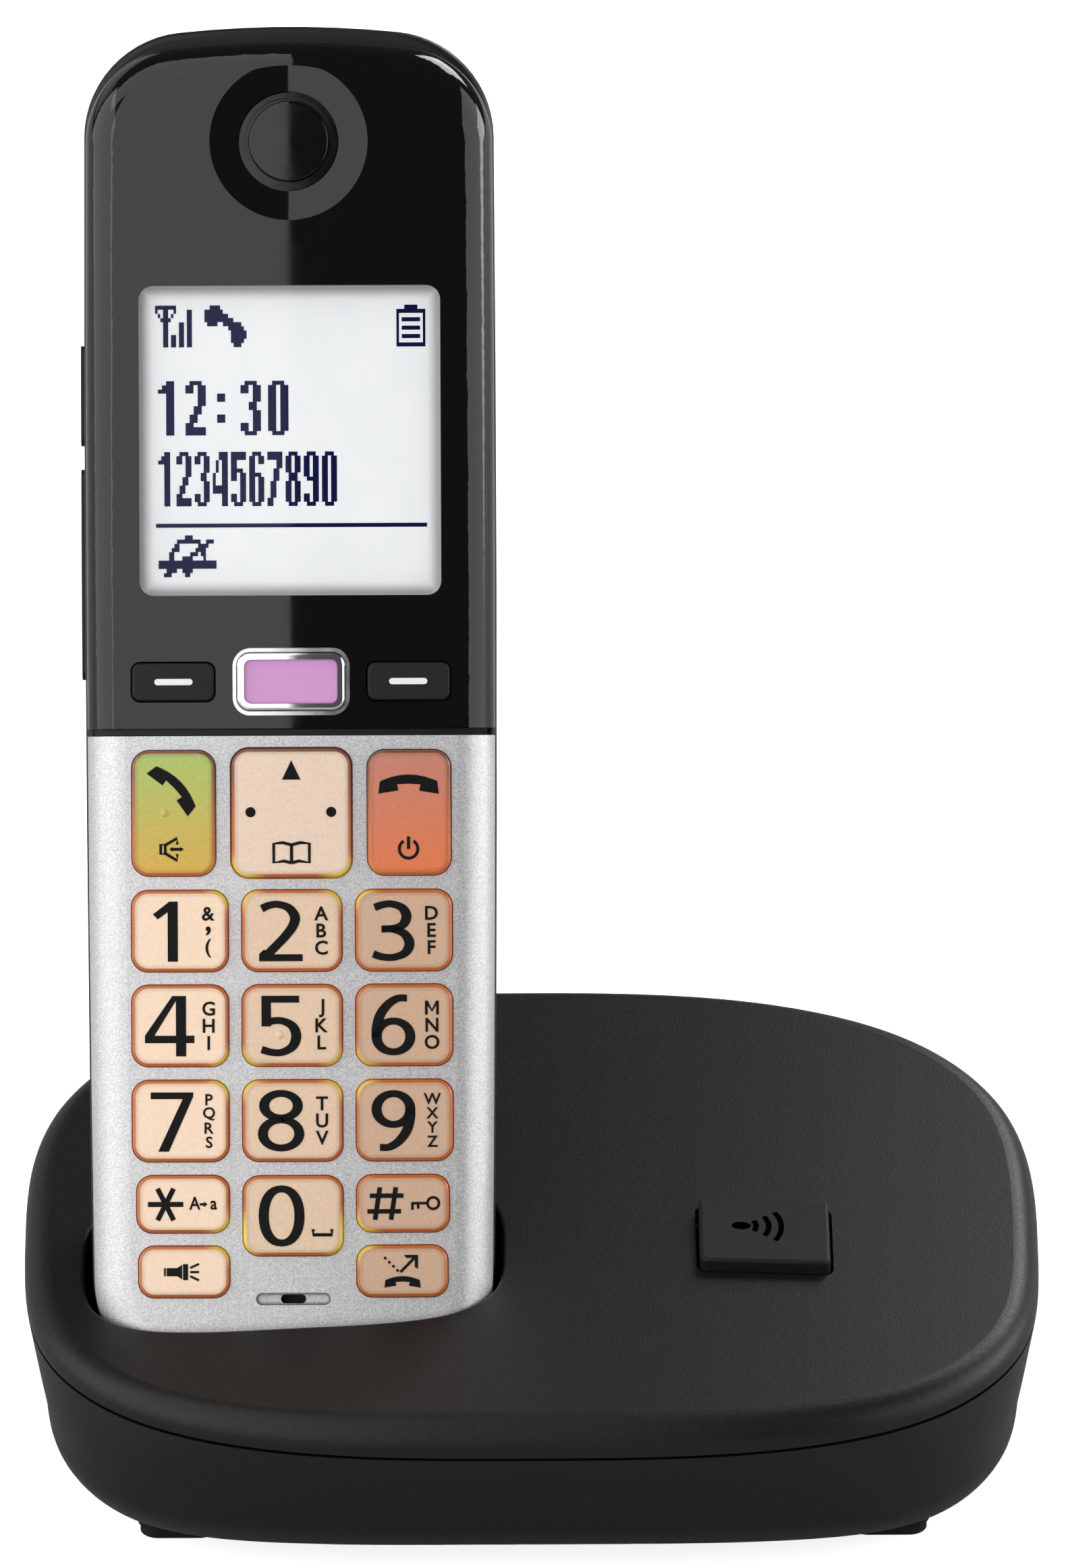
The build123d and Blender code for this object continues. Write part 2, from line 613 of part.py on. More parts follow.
def make_light_guide():
    return slab(at(0, SCREEN_U, RectangleRounded(38.4, 41.0, 1.0)), 4.4, 5.4)


def make_lcd_lens():
    lens = slab(at(0, SCREEN_U, RectangleRounded(SCREEN_WIDTH - 0.2, SCREEN_HEIGHT - 0.2, 1.65)), 1.15, 2.1)
    return fillet(lens.edges().group_by(Axis.Y)[0], 0.2)


def round_piece(x, y_front, y_back, u, radius):
    return Pos(x, (y_front + y_back) / 2, u) * (Rot(90, 0, 0) * Cylinder(radius, y_back - y_front))


def make_earpiece_disc():
    """The round centre of the earpiece, on a carrier whose sound holes it covers."""
    disc = round_piece(0, -1, 2.1, EAR_U, EAR_DISC_RADIUS) & behind_front(EAR_DISC_DEPTH)
    front = [e for e in disc.edges() if e.bounding_box().max.Y < EAR_DISC_DEPTH + 0.4]
    disc = fillet(front, 0.3)
    stem = round_piece(0, 2.0, 3.3, EAR_U, 2.4)
    step_ring = round_piece(0, 2.3, 3.3, EAR_U, EAR_HOLE_RADIUS - 0.2)
    step_ring -= round_piece(0, 2.2, 3.4, EAR_U, EAR_DISC_RADIUS + 0.45)
    carrier = round_piece(0, 3.2, 3.8, EAR_U, 8.0)
    piece = disc + stem + step_ring + carrier
    hole_circle = 3.7
    for step in range(8):
        angle = math.radians(45 * step + 22.5)
        x = hole_circle * math.cos(angle)
        u = EAR_U + hole_circle * math.sin(angle)
        piece -= round_piece(x, 2.5, 4.5, u, 0.8)
    return piece


def make_speaker(y_front, y_back, u, radius):
    """A small dynamic speaker: basket with a stepped magnet behind it."""
    basket_depth = (y_back - y_front) * 0.55
    basket = round_piece(0, y_front, y_front + basket_depth, u, radius)
    magnet = round_piece(0, y_front + basket_depth - 0.1, y_back, u, radius * 0.6)
    recess = round_piece(0, y_front - 1, y_front + 0.5, u, radius - 1.2)
    return basket + magnet - recess


def make_charge_plates():
    plates = []
    for side in (-1, 1):
        pad = Pos(side * CONTACT_X, CONTACT_Y, 0.9) * Box(5.0, 3.0, 1.6)
        tongue = Pos(side * CONTACT_X, CONTACT_Y - 1.2, 5.0) * Box(3.0, 0.5, 7.0)
        plates.append(pad + tongue)
    return group(plates)


def make_handset_screws():
    screws = []
    head_y = THICKNESS - SCREW_SEAT_DEPTH
    for x, u in SCREW_PLACES:
        head = round_piece(x, head_y + 0.02, head_y + 1.3, u, 1.9)
        shank = round_piece(x, 7.6, head_y + 0.1, u, 0.9)
        slot = Pos(x, head_y + 1.3, u) * (Box(2.4, 1.2, 0.55) + Box(0.55, 1.2, 2.4))
        screws.append(head + shank - slot)
    return group(screws)


def make_handset_antenna():
    plate = Pos(0, 10.2, 155.5) * Box(30.0, 0.5, 9.0)
    slot = Pos(3, 10.2, 155.0) * Box(28.0, 2.0, 1.2)
    return plate - slot


# ---------------------------------------------------------------- keys
def make_key(key, rise, edge):
    """A key cap that follows the front crown, with its retaining flange under the panel."""
    cap = slab(key_outline(key, 0), -6, FLANGE_TOP + 0.1) & behind_front(-rise)
    front = [e for e in cap.edges() if e.bounding_box().max.Y < 1.4]
    cap = fillet(front, edge)
    x, u, width, height, radius = key
    flange = slab(at(x, u, RectangleRounded(width + 1.2, height + 1.1, radius)), FLANGE_TOP, FLANGE_BOTTOM)
    return cap + flange


def make_centre_ring():
    ring = make_key(CENTRE_RING, 0.9, 0.6)
    return ring - slab(key_outline(CENTRE_INSERT, 0.0), -6, 2.0)


def make_centre_insert():
    insert = slab(key_outline(CENTRE_INSERT, -0.03), -6, 1.95) & behind_front(-0.45)
    front = [e for e in insert.edges() if e.bounding_box().max.Y < 1.0]
    return fillet(front, 0.25)


# ---------------------------------------------------------------- build every piece
keep("base_top_cover", make_base_top())
keep("base_bottom_cover", make_base_bottom())
keep("base_feet", make_feet())
keep("base_screws", make_base_screws())
keep("base_circuit_board", make_base_board())
keep("line_socket", make_line_socket())
keep("power_socket", make_power_socket())
keep("locator_switch", make_locator_switch())
keep("locator_button", make_locator_button())
keep("base_antenna", make_base_antenna())
keep("rf_shield", make_rf_shield())
keep("capacitors", make_capacitors())
keep("charge_contact_left", make_charge_contact(-1), in_handset=True)
keep("charge_contact_right", make_charge_contact(1), in_handset=True)

front_shell = make_front_shell()
HANDSET_PIECES = {
    "front_lower_panel": make_lower_panel(front_shell),
    "front_upper_panel": make_upper_panel(front_shell),
    "handset_inner_frame": make_inner_frame(),
    "handset_rear_case": make_rear_case(),
    "battery_door": make_battery_door(),
    "battery_cells": make_cells(),
    "battery_springs": make_springs(),
    "battery_plates": make_battery_plates(),
    "handset_circuit_board": make_handset_board(),
    "keypad_mat": make_keypad_mat(),
    "lcd_module": make_lcd_module(),
    "light_guide": make_light_guide(),
    "lcd_lens": make_lcd_lens(),
    "earpiece_disc": make_earpiece_disc(),
    "earpiece_speaker": make_speaker(4.2, 8.4, EAR_U, 8.5),
    "ringer_speaker": make_speaker(14.2, 20.0, 129.2, 9.5).mirror(Plane.XZ.offset(-17.1)),
    "microphone": round_piece(0, 3.1, 5.3, MIC_U - 0.6, 3.0),
    "torch_lens": Pos(0, 13.0, LENGTH - 1.5) * Cylinder(2.5, 2.4),
    "torch_led": Pos(0, 13.0, LENGTH - 5.4) * Cylinder(1.5, 4.0),
    "handset_charge_plates": make_charge_plates(),
    "handset_screws": make_handset_screws(),
    "handset_antenna": make_handset_antenna(),
    "navigation_key": make_key(NAV_KEY, KEY_RISE, KEY_EDGE_RADIUS),
    "navigation_post": round_piece(0, FLANGE_BOTTOM + 0.1, MAT_FRONT - 0.05, NAV_U, 1.5),
    "centre_key_ring": make_centre_ring(),
    "centre_key_insert": make_centre_insert(),
    "side_key": make_side_key(UPPER_SIDE_KEY),
    "volume_rocker": make_side_key(VOLUME_KEY),
}
for name, key in KEYS.items():
    HANDSET_PIECES[name] = make_key(key, KEY_RISE, KEY_EDGE_RADIUS)
for name, key in SOFT_KEYS.items():
    HANDSET_PIECES[name] = make_key(key, 0.55, 0.35)
for name, shape in HANDSET_PIECES.items():
    keep(name, shape, in_handset=True)

os.makedirs("parts", exist_ok=True)
for name, shape in PARTS.items():
    export_step(shape, f"parts/{name}.step")

box = Compound(children=list(PARTS.values())).bounding_box()
print(len(PARTS), "nodes", "size", box.size, "low", box.min, "high", box.max)
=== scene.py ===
import json
import math

import bmesh
import bpy
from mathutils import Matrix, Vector
from mathutils.bvhtree import BVHTree
from mathutils.geometry import tessellate_polygon


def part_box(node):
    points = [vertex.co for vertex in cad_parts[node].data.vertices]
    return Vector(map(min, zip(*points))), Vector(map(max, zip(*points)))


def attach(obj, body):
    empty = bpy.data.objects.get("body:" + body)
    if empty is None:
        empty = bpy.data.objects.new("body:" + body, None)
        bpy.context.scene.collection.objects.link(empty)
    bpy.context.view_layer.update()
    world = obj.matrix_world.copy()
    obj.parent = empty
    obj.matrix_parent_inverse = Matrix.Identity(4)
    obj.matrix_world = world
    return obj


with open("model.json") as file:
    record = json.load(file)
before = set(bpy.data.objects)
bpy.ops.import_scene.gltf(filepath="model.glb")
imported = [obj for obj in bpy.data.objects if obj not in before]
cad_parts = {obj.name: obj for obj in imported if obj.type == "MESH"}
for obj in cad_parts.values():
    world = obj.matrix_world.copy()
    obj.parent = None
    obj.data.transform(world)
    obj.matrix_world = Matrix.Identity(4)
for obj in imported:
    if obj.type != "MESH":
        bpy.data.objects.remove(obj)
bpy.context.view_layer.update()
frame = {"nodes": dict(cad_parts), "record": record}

MM = 0.001
NODES = frame["nodes"]
JOINTS = {joint["name"]: joint for joint in frame["record"]["behaviour"]["joints"]}

# ------------------------------------------------------------------ handset coordinates
# x runs across the handset, y into it from its front face, u up its length, all in millimetres. The origin
# comes from the navigation key's hinge, whose depth and height in these coordinates are known. The front face
# is a cylinder of radius FRONT_CROWN.
UP = Vector(JOINTS["handset_lift"]["axis"])
INTO = Vector(JOINTS["battery_door_removal"]["axis"])
ACROSS = Vector((1, 0, 0))
NAV_PIVOT_DEPTH = 1.0
NAV_PIVOT_U = 71.8
PIVOT = Vector(JOINTS["navigation_up_down"]["pos_m"])
ORIGIN = PIVOT - INTO * NAV_PIVOT_DEPTH * MM - UP * NAV_PIVOT_U * MM
FRONT_CROWN = 250.0


def place(x, y, u):
    return ORIGIN + (ACROSS * x + INTO * y + UP * u) * MM


def crown(x):
    """How far the front face falls back from its middle line, x across."""
    return FRONT_CROWN - math.sqrt(FRONT_CROWN ** 2 - x * x)


def local_extent(node, deepest=math.inf):
    """Lowest and highest (x, y, u) of a handset node, counting only points in front of a depth."""
    low = [math.inf] * 3
    high = [-math.inf] * 3
    for vertex in NODES[node].data.vertices:
        offset = (vertex.co - ORIGIN) / MM
        point = (offset.dot(ACROSS), offset.dot(INTO), offset.dot(UP))
        if point[1] < deepest:
            low = [min(a, b) for a, b in zip(low, point)]
            high = [max(a, b) for a, b in zip(high, point)]
    return low, high


def add_object(name, data):
    made = bpy.data.objects.new(name, data)
    bpy.context.scene.collection.objects.link(made)
    return made


def closed_mesh(name, mesh, material):
    """A mesh datablock from a bmesh, with its faces turned outwards."""
    bmesh.ops.recalc_face_normals(mesh, faces=mesh.faces)
    data = bpy.data.meshes.new(name)
    mesh.to_mesh(data)
    mesh.free()
    data.materials.append(material)
    return data


# ------------------------------------------------------------------ materials
class Shader:
    """A Principled material with short helpers for its procedural nodes."""

    def __init__(self, name, **sockets):
        self.material = bpy.data.materials.new(name)
        self.material.use_nodes = True
        self.tree = self.material.node_tree
        self.principled = self.tree.nodes["Principled BSDF"]
        for socket, value in sockets.items():
            self.principled.inputs[socket.replace("_", " ")].default_value = value

    def node(self, kind, **values):
        made = self.tree.nodes.new(kind)
        for name, value in values.items():
            setattr(made, name, value)
        return made

    def link(self, source, target):
        self.tree.links.new(source, target)

    def feed(self, source, socket):
        self.link(source, self.principled.inputs[socket])

    def position(self):
        return self.node("ShaderNodeTexCoord").outputs["Object"]

    def noise(self, size, detail=2.0, roughness=0.5):
        """Noise whose features are about size metres across."""
        made = self.node("ShaderNodeTexNoise")
        made.inputs["Scale"].default_value = 1.0 / size
        made.inputs["Detail"].default_value = detail
        made.inputs["Roughness"].default_value = roughness
        self.link(self.position(), made.inputs["Vector"])
        return made.outputs["Fac"]

    def math(self, operation, first, second=None):
        made = self.node("ShaderNodeMath", operation=operation)
        for slot, value in enumerate((first, second)):
            if value is None:
                continue
            if isinstance(value, (int, float)):
                made.inputs[slot].default_value = value
            else:
                self.link(value, made.inputs[slot])
        return made.outputs[0]

    def past(self, value, middle, limit):
        """How far a value lies from a middle beyond a limit on each side, and 0 within it."""
        away = self.math("ABSOLUTE", self.math("SUBTRACT", value, middle))
        return self.math("MAXIMUM", self.math("SUBTRACT", away, limit), 0.0)

    def length(self, first, second):
        squares = self.math("ADD", self.math("MULTIPLY", first, first), self.math("MULTIPLY", second, second))
        return self.math("SQRT", squares)

    def span(self, value, low, high, to_low=0.0, to_high=1.0, smooth=False):
        """Maps low to high onto to_low to to_high, and holds the ends beyond them."""
        made = self.node("ShaderNodeMapRange", interpolation_type="SMOOTHSTEP" if smooth else "LINEAR")
        self.link(value, made.inputs["Value"])
        limits = {"From Min": low, "From Max": high, "To Min": to_low, "To Max": to_high}
        for socket, number in limits.items():
            made.inputs[socket].default_value = number
        return made.outputs[0]

    def mix(self, factor, first, second):
        made = self.node("ShaderNodeMix", data_type="RGBA")
        for socket, value in ((0, factor), (6, first), (7, second)):
            if isinstance(value, (int, float)):
                made.inputs[socket].default_value = value
            elif isinstance(value, tuple):
                made.inputs[socket].default_value = (*value, 1.0)
            else:
                self.link(value, made.inputs[socket])
        return made.outputs[2]

    def along(self, axis):
        """Handset coordinate in millimetres along one of its axes, from the object's own coordinates."""
        shift = self.node("ShaderNodeVectorMath", operation="SUBTRACT")
        self.link(self.position(), shift.inputs[0])
        shift.inputs[1].default_value = ORIGIN
        dot = self.node("ShaderNodeVectorMath", operation="DOT_PRODUCT")
        self.link(shift.outputs[0], dot.inputs[0])
        dot.inputs[1].default_value = axis
        return self.math("MULTIPLY", dot.outputs["Value"], 1.0 / MM)

    def bump(self, height, distance, strength=1.0):
        made = self.node("ShaderNodeBump")
        made.inputs["Strength"].default_value = strength
        made.inputs["Distance"].default_value = distance
        self.link(height, made.inputs["Height"])
        self.feed(made.outputs[0], "Normal")


def grey(value):
    return (value, value, value, 1.0)


def srgb(red, green, blue):
    """Scene-linear colour from 0-255 display values."""
    def linear(value):
        value = value / 255
        if value <= 0.04045:
            return value / 12.92
        return ((value + 0.055) / 1.055) ** 2.4
    return (linear(red), linear(green), linear(blue))


TONE_SPREAD = 0.1
CLOUD_TO_GRAIN = 40


def textured_plastic(name, tone, roughness, grain, depth, specular=0.35):
    """Moulded plastic with a fine spark-eroded grain, depth deep, and slight tone variation."""
    shader = Shader(name, Roughness=roughness, Specular_IOR_Level=specular)
    fine = shader.noise(grain, 3.0, 0.6)
    broad = shader.noise(grain * CLOUD_TO_GRAIN)
    dark = tuple(channel * (1 - TONE_SPREAD) for channel in tone)
    light = tuple(channel * (1 + TONE_SPREAD) for channel in tone)
    shader.feed(shader.mix(broad, dark, light), "Base Color")
    shader.feed(shader.span(fine, 0.3, 0.7, roughness - 0.04, roughness + 0.05), "Roughness")
    shader.bump(fine, depth)
    return shader.material


DUST_SIZE = 0.004


def gloss_black():
    shader = Shader("gloss_black", Roughness=0.035, Base_Color=(*srgb(10, 10, 11), 1.0),
                    Specular_IOR_Level=0.5)
    dust = shader.noise(DUST_SIZE)
    shader.feed(shader.span(dust, 0.35, 0.75, 0.03, 0.06), "Roughness")
    return shader.material


def metal(name, tone, roughness, grain=0.0006):
    """Plated metal whose roughness changes a little over patches grain metres across."""
    shader = Shader(name, Metallic=1.0, Roughness=roughness, Base_Color=(*tone, 1.0))
    patch = shader.noise(grain)
    shader.feed(shader.span(patch, 0.3, 0.7, roughness * 0.8, roughness * 1.25), "Roughness")
    return shader.material


FLAKE_SIZE = 0.00022
# The microphone slot runs along x at MIC_U, MIC_SLOT_REACH to each side. Its floor gets painted shade, darker
# by the distance from that line and by the depth below the front face; each pair is where that starts and
# where it is full.
MIC_U = 12.55
MIC_SLOT_REACH = 3.8
MIC_WALL = (0.95, 0.8)
MIC_DEPTH = (0.45, 0.6)
MIC_SHADOW = (0.3, 0.72)


def silver_paint():
    """Metallic flake paint, each flake with its own tone and tilt, with painted shade on the microphone
    slot's floor.
    """
    shader = Shader("silver_paint", Metallic=0.6, Roughness=0.45)
    flake = shader.noise(FLAKE_SIZE, 2.0, 0.6)
    tone = shader.span(flake, 0.34, 0.66)
    paint = shader.mix(tone, srgb(194, 194, 197), srgb(238, 238, 239))
    beyond = shader.past(shader.along(ACROSS), 0.0, MIC_SLOT_REACH)
    rise = shader.math("SUBTRACT", shader.along(UP), MIC_U)
    away = shader.length(beyond, rise)
    in_slot = shader.span(away, *MIC_WALL)
    sunk = shader.span(shader.along(INTO), *MIC_DEPTH)
    shadow = shader.span(away, *MIC_SHADOW, 0.1, 0.85)
    # painted shade in the microphone slot, deepest near its wall
    slot_painted_shade = shader.math("MULTIPLY", shader.math("MULTIPLY", in_slot, sunk), shadow)
    shader.feed(shader.mix(slot_painted_shade, paint, srgb(60, 60, 62)), "Base Color")
    shader.feed(shader.span(flake, 0.3, 0.7, 0.4, 0.5), "Roughness")
    shader.bump(flake, 0.00001, 0.3)
    return shader.material


# Painted light: the clear rims get a yellow glow near six points under the keypad, at BACKLIGHT_X to each
# side in every row, standing in for a backlight shining through them.
BACKLIGHT_X = 7.0
BACKLIGHT_ROWS = (63.2, 40.0, 20.0)
BACKLIGHT_REACH = (1.2, 4.4)
RIM_COPPER = srgb(192, 100, 36)
RIM_BROWN = srgb(128, 72, 52)
RIM_PAINTED_GLOW = srgb(238, 208, 62)
RIM_BROWN_BELOW = 4.0
RIM_BROWN_ABOVE = 8.0
# Distances in from a key's outline: the rim gives way to paint, then the soft painted shade along the paint's
# edge ends.
RIM_EDGE = (0.28, 0.44)
SHADE_EDGE = (0.45, 0.95)
KEY_PAINTED_GLOW = 0.14
CAP_DEPTH = 0.3


def key_cap(name, node, radius, low_tone, high_tone):
    """A painted key face in a clear amber rim, with painted light, a glow on the rim near a backlight and
    over the whole key, and painted shade along the paint's edge.

    The paint runs from low_tone at the foot of the key to high_tone at its top.
    """
    low, high = local_extent(node, deepest=CAP_DEPTH)
    middle_x = (low[0] + high[0]) / 2
    middle_u = (low[2] + high[2]) / 2
    half_x = (high[0] - low[0]) / 2
    half_u = (high[2] - low[2]) / 2
    shader = Shader(name, Roughness=0.4, Coat_Weight=0.25, Coat_Roughness=0.2)
    x = shader.along(ACROSS)
    u = shader.along(UP)
    corner = shader.length(shader.past(x, middle_x, half_x - radius),
                           shader.past(u, middle_u, half_u - radius))
    inside = shader.math("SUBTRACT", radius, corner)
    rim = shader.span(inside, *RIM_EDGE, 1.0, 0.0, smooth=True)
    # painted shade: the paint is darker near its edge
    shade = shader.span(inside, *SHADE_EDGE, 0.80, 1.0, smooth=True)
    speck = shader.noise(0.00035, 3.0, 0.7)
    rise = shader.span(u, low[2], high[2])
    paint = shader.mix(rise, low_tone, high_tone)
    pale = shader.span(speck, 0.35, 0.65, 0.93, 1.05)
    tint = shader.math("MULTIPLY", pale, shade)
    scaled = shader.node("ShaderNodeVectorMath", operation="SCALE")
    shader.link(paint, scaled.inputs[0])
    shader.link(tint, scaled.inputs["Scale"])
    aside = shader.math("SUBTRACT", shader.math("ABSOLUTE", x), BACKLIGHT_X)
    nearest = None
    for row in BACKLIGHT_ROWS:
        away = shader.math("ABSOLUTE", shader.math("SUBTRACT", u, row))
        nearest = away if nearest is None else shader.math("MINIMUM", nearest, away)
    # painted light: a yellow glow on the rim near each backlight point, standing in for a backlight
    glow = shader.span(shader.length(aside, nearest), *BACKLIGHT_REACH, 0.9, 0.0, smooth=True)
    browner = shader.span(u, NAV_PIVOT_U - RIM_BROWN_BELOW, NAV_PIVOT_U + RIM_BROWN_ABOVE, smooth=True)
    unlit = shader.mix(browner, RIM_COPPER, RIM_BROWN)
    rim_tone = shader.mix(glow, unlit, RIM_PAINTED_GLOW)
    face = shader.mix(rim, scaled.outputs[0], rim_tone)
    shader.feed(face, "Base Color")
    shader.feed(shader.span(rim, 0.0, 1.0, 0.42, 0.16), "Roughness")
    # painted light: the whole key gives off a little of its own colour
    shader.feed(face, "Emission Color")
    shader.principled.inputs["Emission Strength"].default_value = KEY_PAINTED_GLOW
    shader.bump(speck, 0.00001, 0.4)
    return shader.material


def print_ink():
    shader = Shader("legend_ink", Roughness=0.6, Specular_IOR_Level=0.2)
    shader.feed(shader.mix(shader.noise(0.0004), srgb(4, 4, 4), srgb(12, 12, 12)), "Base Color")
    return shader.material


def painted_glow_plastic(name, tone, strength, roughness=0.35):
    """Plastic or ink that gives off a little of its own tone as painted light."""
    shader = Shader(name, Roughness=roughness, Base_Color=(*tone, 1.0), Specular_IOR_Level=0.1,
                    Emission_Color=(*tone, 1.0), Emission_Strength=strength)
    grain = shader.noise(0.0012)
    shader.feed(shader.span(grain, 0.3, 0.7, roughness - 0.03, roughness + 0.03), "Roughness")
    return shader.material


def clear_plastic():
    shader = Shader("clear_window", Roughness=0.02, Base_Color=grey(1.0), Transmission_Weight=1.0, IOR=1.2)
    smear = shader.noise(0.006)
    shader.feed(shader.span(smear, 0.3, 0.8, 0.01, 0.04), "Roughness")
    return shader.material


TRACKS_PER_METRE = 400.0


def board_green():
    """Circuit board with paler tracks between its cells."""
    shader = Shader("board_green", Roughness=0.35)
    tracks = shader.node("ShaderNodeTexVoronoi", feature="DISTANCE_TO_EDGE")
    tracks.inputs["Scale"].default_value = TRACKS_PER_METRE
    shader.link(shader.position(), tracks.inputs["Vector"])
    line = shader.span(tracks.outputs["Distance"], 0.03, 0.08)
    shader.feed(shader.mix(line, srgb(60, 120, 60), srgb(20, 74, 40)), "Base Color")
    return shader.material


SCREEN_MIDDLE_U = 117.2
SCREEN_HALF_WIDTH = 18.4
SCREEN_HALF_HEIGHT = 18.9
SCREEN_SHADE = 1.9
DISPLAY_PAINTED_GLOW = 0.36


def display_white():
    """White glass with painted light, a little glow of its own, and painted shade, a little grey where the
    window's edges would shade it.
    """
    shader = Shader("display_white", Roughness=0.5, Emission_Strength=DISPLAY_PAINTED_GLOW)
    from_side = shader.math("SUBTRACT", SCREEN_HALF_WIDTH, shader.math("ABSOLUTE", shader.along(ACROSS)))
    rise = shader.math("SUBTRACT", shader.along(UP), SCREEN_MIDDLE_U)
    from_end = shader.math("SUBTRACT", SCREEN_HALF_HEIGHT, shader.math("ABSOLUTE", rise))
    # painted shade: greyer near the window's edges
    shade = shader.span(shader.math("MINIMUM", from_side, from_end), 0.0, SCREEN_SHADE, smooth=True)
    cloud = shader.noise(0.004, 3.0)
    paper = shader.mix(cloud, srgb(234, 238, 240), srgb(244, 245, 245))
    tone = shader.mix(shade, srgb(158, 152, 156), paper)
    shader.feed(tone, "Base Color")
    shader.feed(tone, "Emission Color")
    return shader.material


# Tones are display values; a plastic's last numbers are its roughness, its grain's size and depth in metres.
PLASTIC_BASE = textured_plastic("base_plastic", srgb(14, 14, 15), 0.42, 0.00035, 0.00003)
PLASTIC_BUTTON = textured_plastic("button_plastic", srgb(8, 8, 9), 0.6, 0.00035, 0.00003)
PLASTIC_CASE = textured_plastic("case_plastic", srgb(24, 24, 25), 0.38, 0.0003, 0.00002)
PLASTIC_DARK = textured_plastic("dark_plastic", srgb(14, 14, 15), 0.5, 0.0004, 0.00003)
RUBBER = textured_plastic("black_rubber", srgb(22, 22, 23), 0.6, 0.00025, 0.00003)
INK = print_ink()
ENGRAVED = textured_plastic("engraved_black", srgb(1, 1, 1), 0.95, 0.0004, 0.00001, specular=0.0)
NICKEL = metal("nickel", srgb(214, 208, 196), 0.22)
STEEL = metal("plated_steel", srgb(190, 191, 194), 0.3)
TIN = metal("tin_plate", srgb(200, 202, 204), 0.35)
CHROME = metal("chrome", srgb(235, 235, 238), 0.05, 0.002)
SLEEVE = textured_plastic("cell_sleeve", srgb(206, 210, 216), 0.3, 0.002, 0.00001)
WHITE_GUIDE = painted_glow_plastic("light_guide", srgb(236, 238, 240), 0.3)
CLEAR = clear_plastic()
LILAC = painted_glow_plastic("lilac_insert", srgb(200, 148, 196), 0.25)
WHITE_PRINT = painted_glow_plastic("white_print", srgb(232, 232, 232), 0.2, 0.5)
DISPLAY = display_white()
DISPLAY_INK = painted_glow_plastic("display_ink", srgb(14, 20, 74), 0.05, 0.9)


def assign(material, *names):
    for name in names:
        mesh = NODES[name].data
        mesh.materials.clear()
        mesh.materials.append(material)


assign(PLASTIC_BASE, "base_top_cover", "base_bottom_cover")
assign(PLASTIC_BUTTON, "locator_button")
assign(RUBBER, "base_feet", "soft_key_left", "soft_key_right", "keypad_mat")
assign(PLASTIC_CASE, "handset_rear_case", "battery_door", "side_key", "volume_rocker",
       "handset_inner_frame")
assign(PLASTIC_DARK, "line_socket", "power_socket", "locator_switch", "earpiece_speaker", "ringer_speaker",
       "microphone", "capacitors")
assign(gloss_black(), "front_upper_panel", "earpiece_disc")
assign(silver_paint(), "front_lower_panel")
assign(STEEL, "base_screws", "handset_screws", "battery_springs")
assign(TIN, "base_antenna", "rf_shield", "handset_antenna", "battery_plates")
assign(NICKEL, "charge_contact_left", "charge_contact_right", "handset_charge_plates")
assign(CHROME, "centre_key_ring")
assign(LILAC, "centre_key_insert")
assign(SLEEVE, "battery_cells")
assign(WHITE_GUIDE, "light_guide", "navigation_post")
assign(DISPLAY, "lcd_module")
assign(CLEAR, "lcd_lens", "torch_lens", "torch_led")
assign(board_green(), "base_circuit_board", "handset_circuit_board")

LARGE_CORNER = 2.0
SMALL_CORNER = 1.9
# One champagne paint in three tones, lightest in the left column and darkest in the right: painted light and
# shade.
COLUMN_LIT_AND_SHADED_TONES = (srgb(248, 219, 191), srgb(229, 199, 170), srgb(207, 172, 144))
NAVIGATION_TONE = srgb(235, 209, 187)
TALK_LOW = srgb(214, 168, 62)
TALK_HIGH = srgb(166, 192, 98)
OFF_LOW = srgb(228, 121, 72)
OFF_HIGH = srgb(197, 129, 111)
COLUMNS = {"key_1": 0, "key_4": 0, "key_7": 0, "key_star": 0, "torch_key": 0,
           "key_2": 1, "key_5": 1, "key_8": 1, "key_0": 1, "navigation_key": 1,
           "key_3": 2, "key_6": 2, "key_9": 2, "key_hash": 2, "call_block_key": 2}
SMALL_KEYS = ("key_star", "key_hash", "torch_key", "call_block_key")
for node, column in COLUMNS.items():
    corner_radius = SMALL_CORNER if node in SMALL_KEYS else LARGE_CORNER
    tone = NAVIGATION_TONE if node == "navigation_key" else COLUMN_LIT_AND_SHADED_TONES[column]
    assign(key_cap("paint_" + node, node, corner_radius, tone, tone), node)
assign(key_cap("paint_talk", "talk_key", LARGE_CORNER, TALK_LOW, TALK_HIGH), "talk_key")
assign(key_cap("paint_off", "off_key", LARGE_CORNER, OFF_LOW, OFF_HIGH), "off_key")


# ------------------------------------------------------------------ flat printed shapes
# Heights over the face, in millimetres: a print's top and its hidden underside.
PRINT_RISE = 0.06
PRINT_UNDERSIDE = -0.01
THIN_PRINT_RISE = 0.02


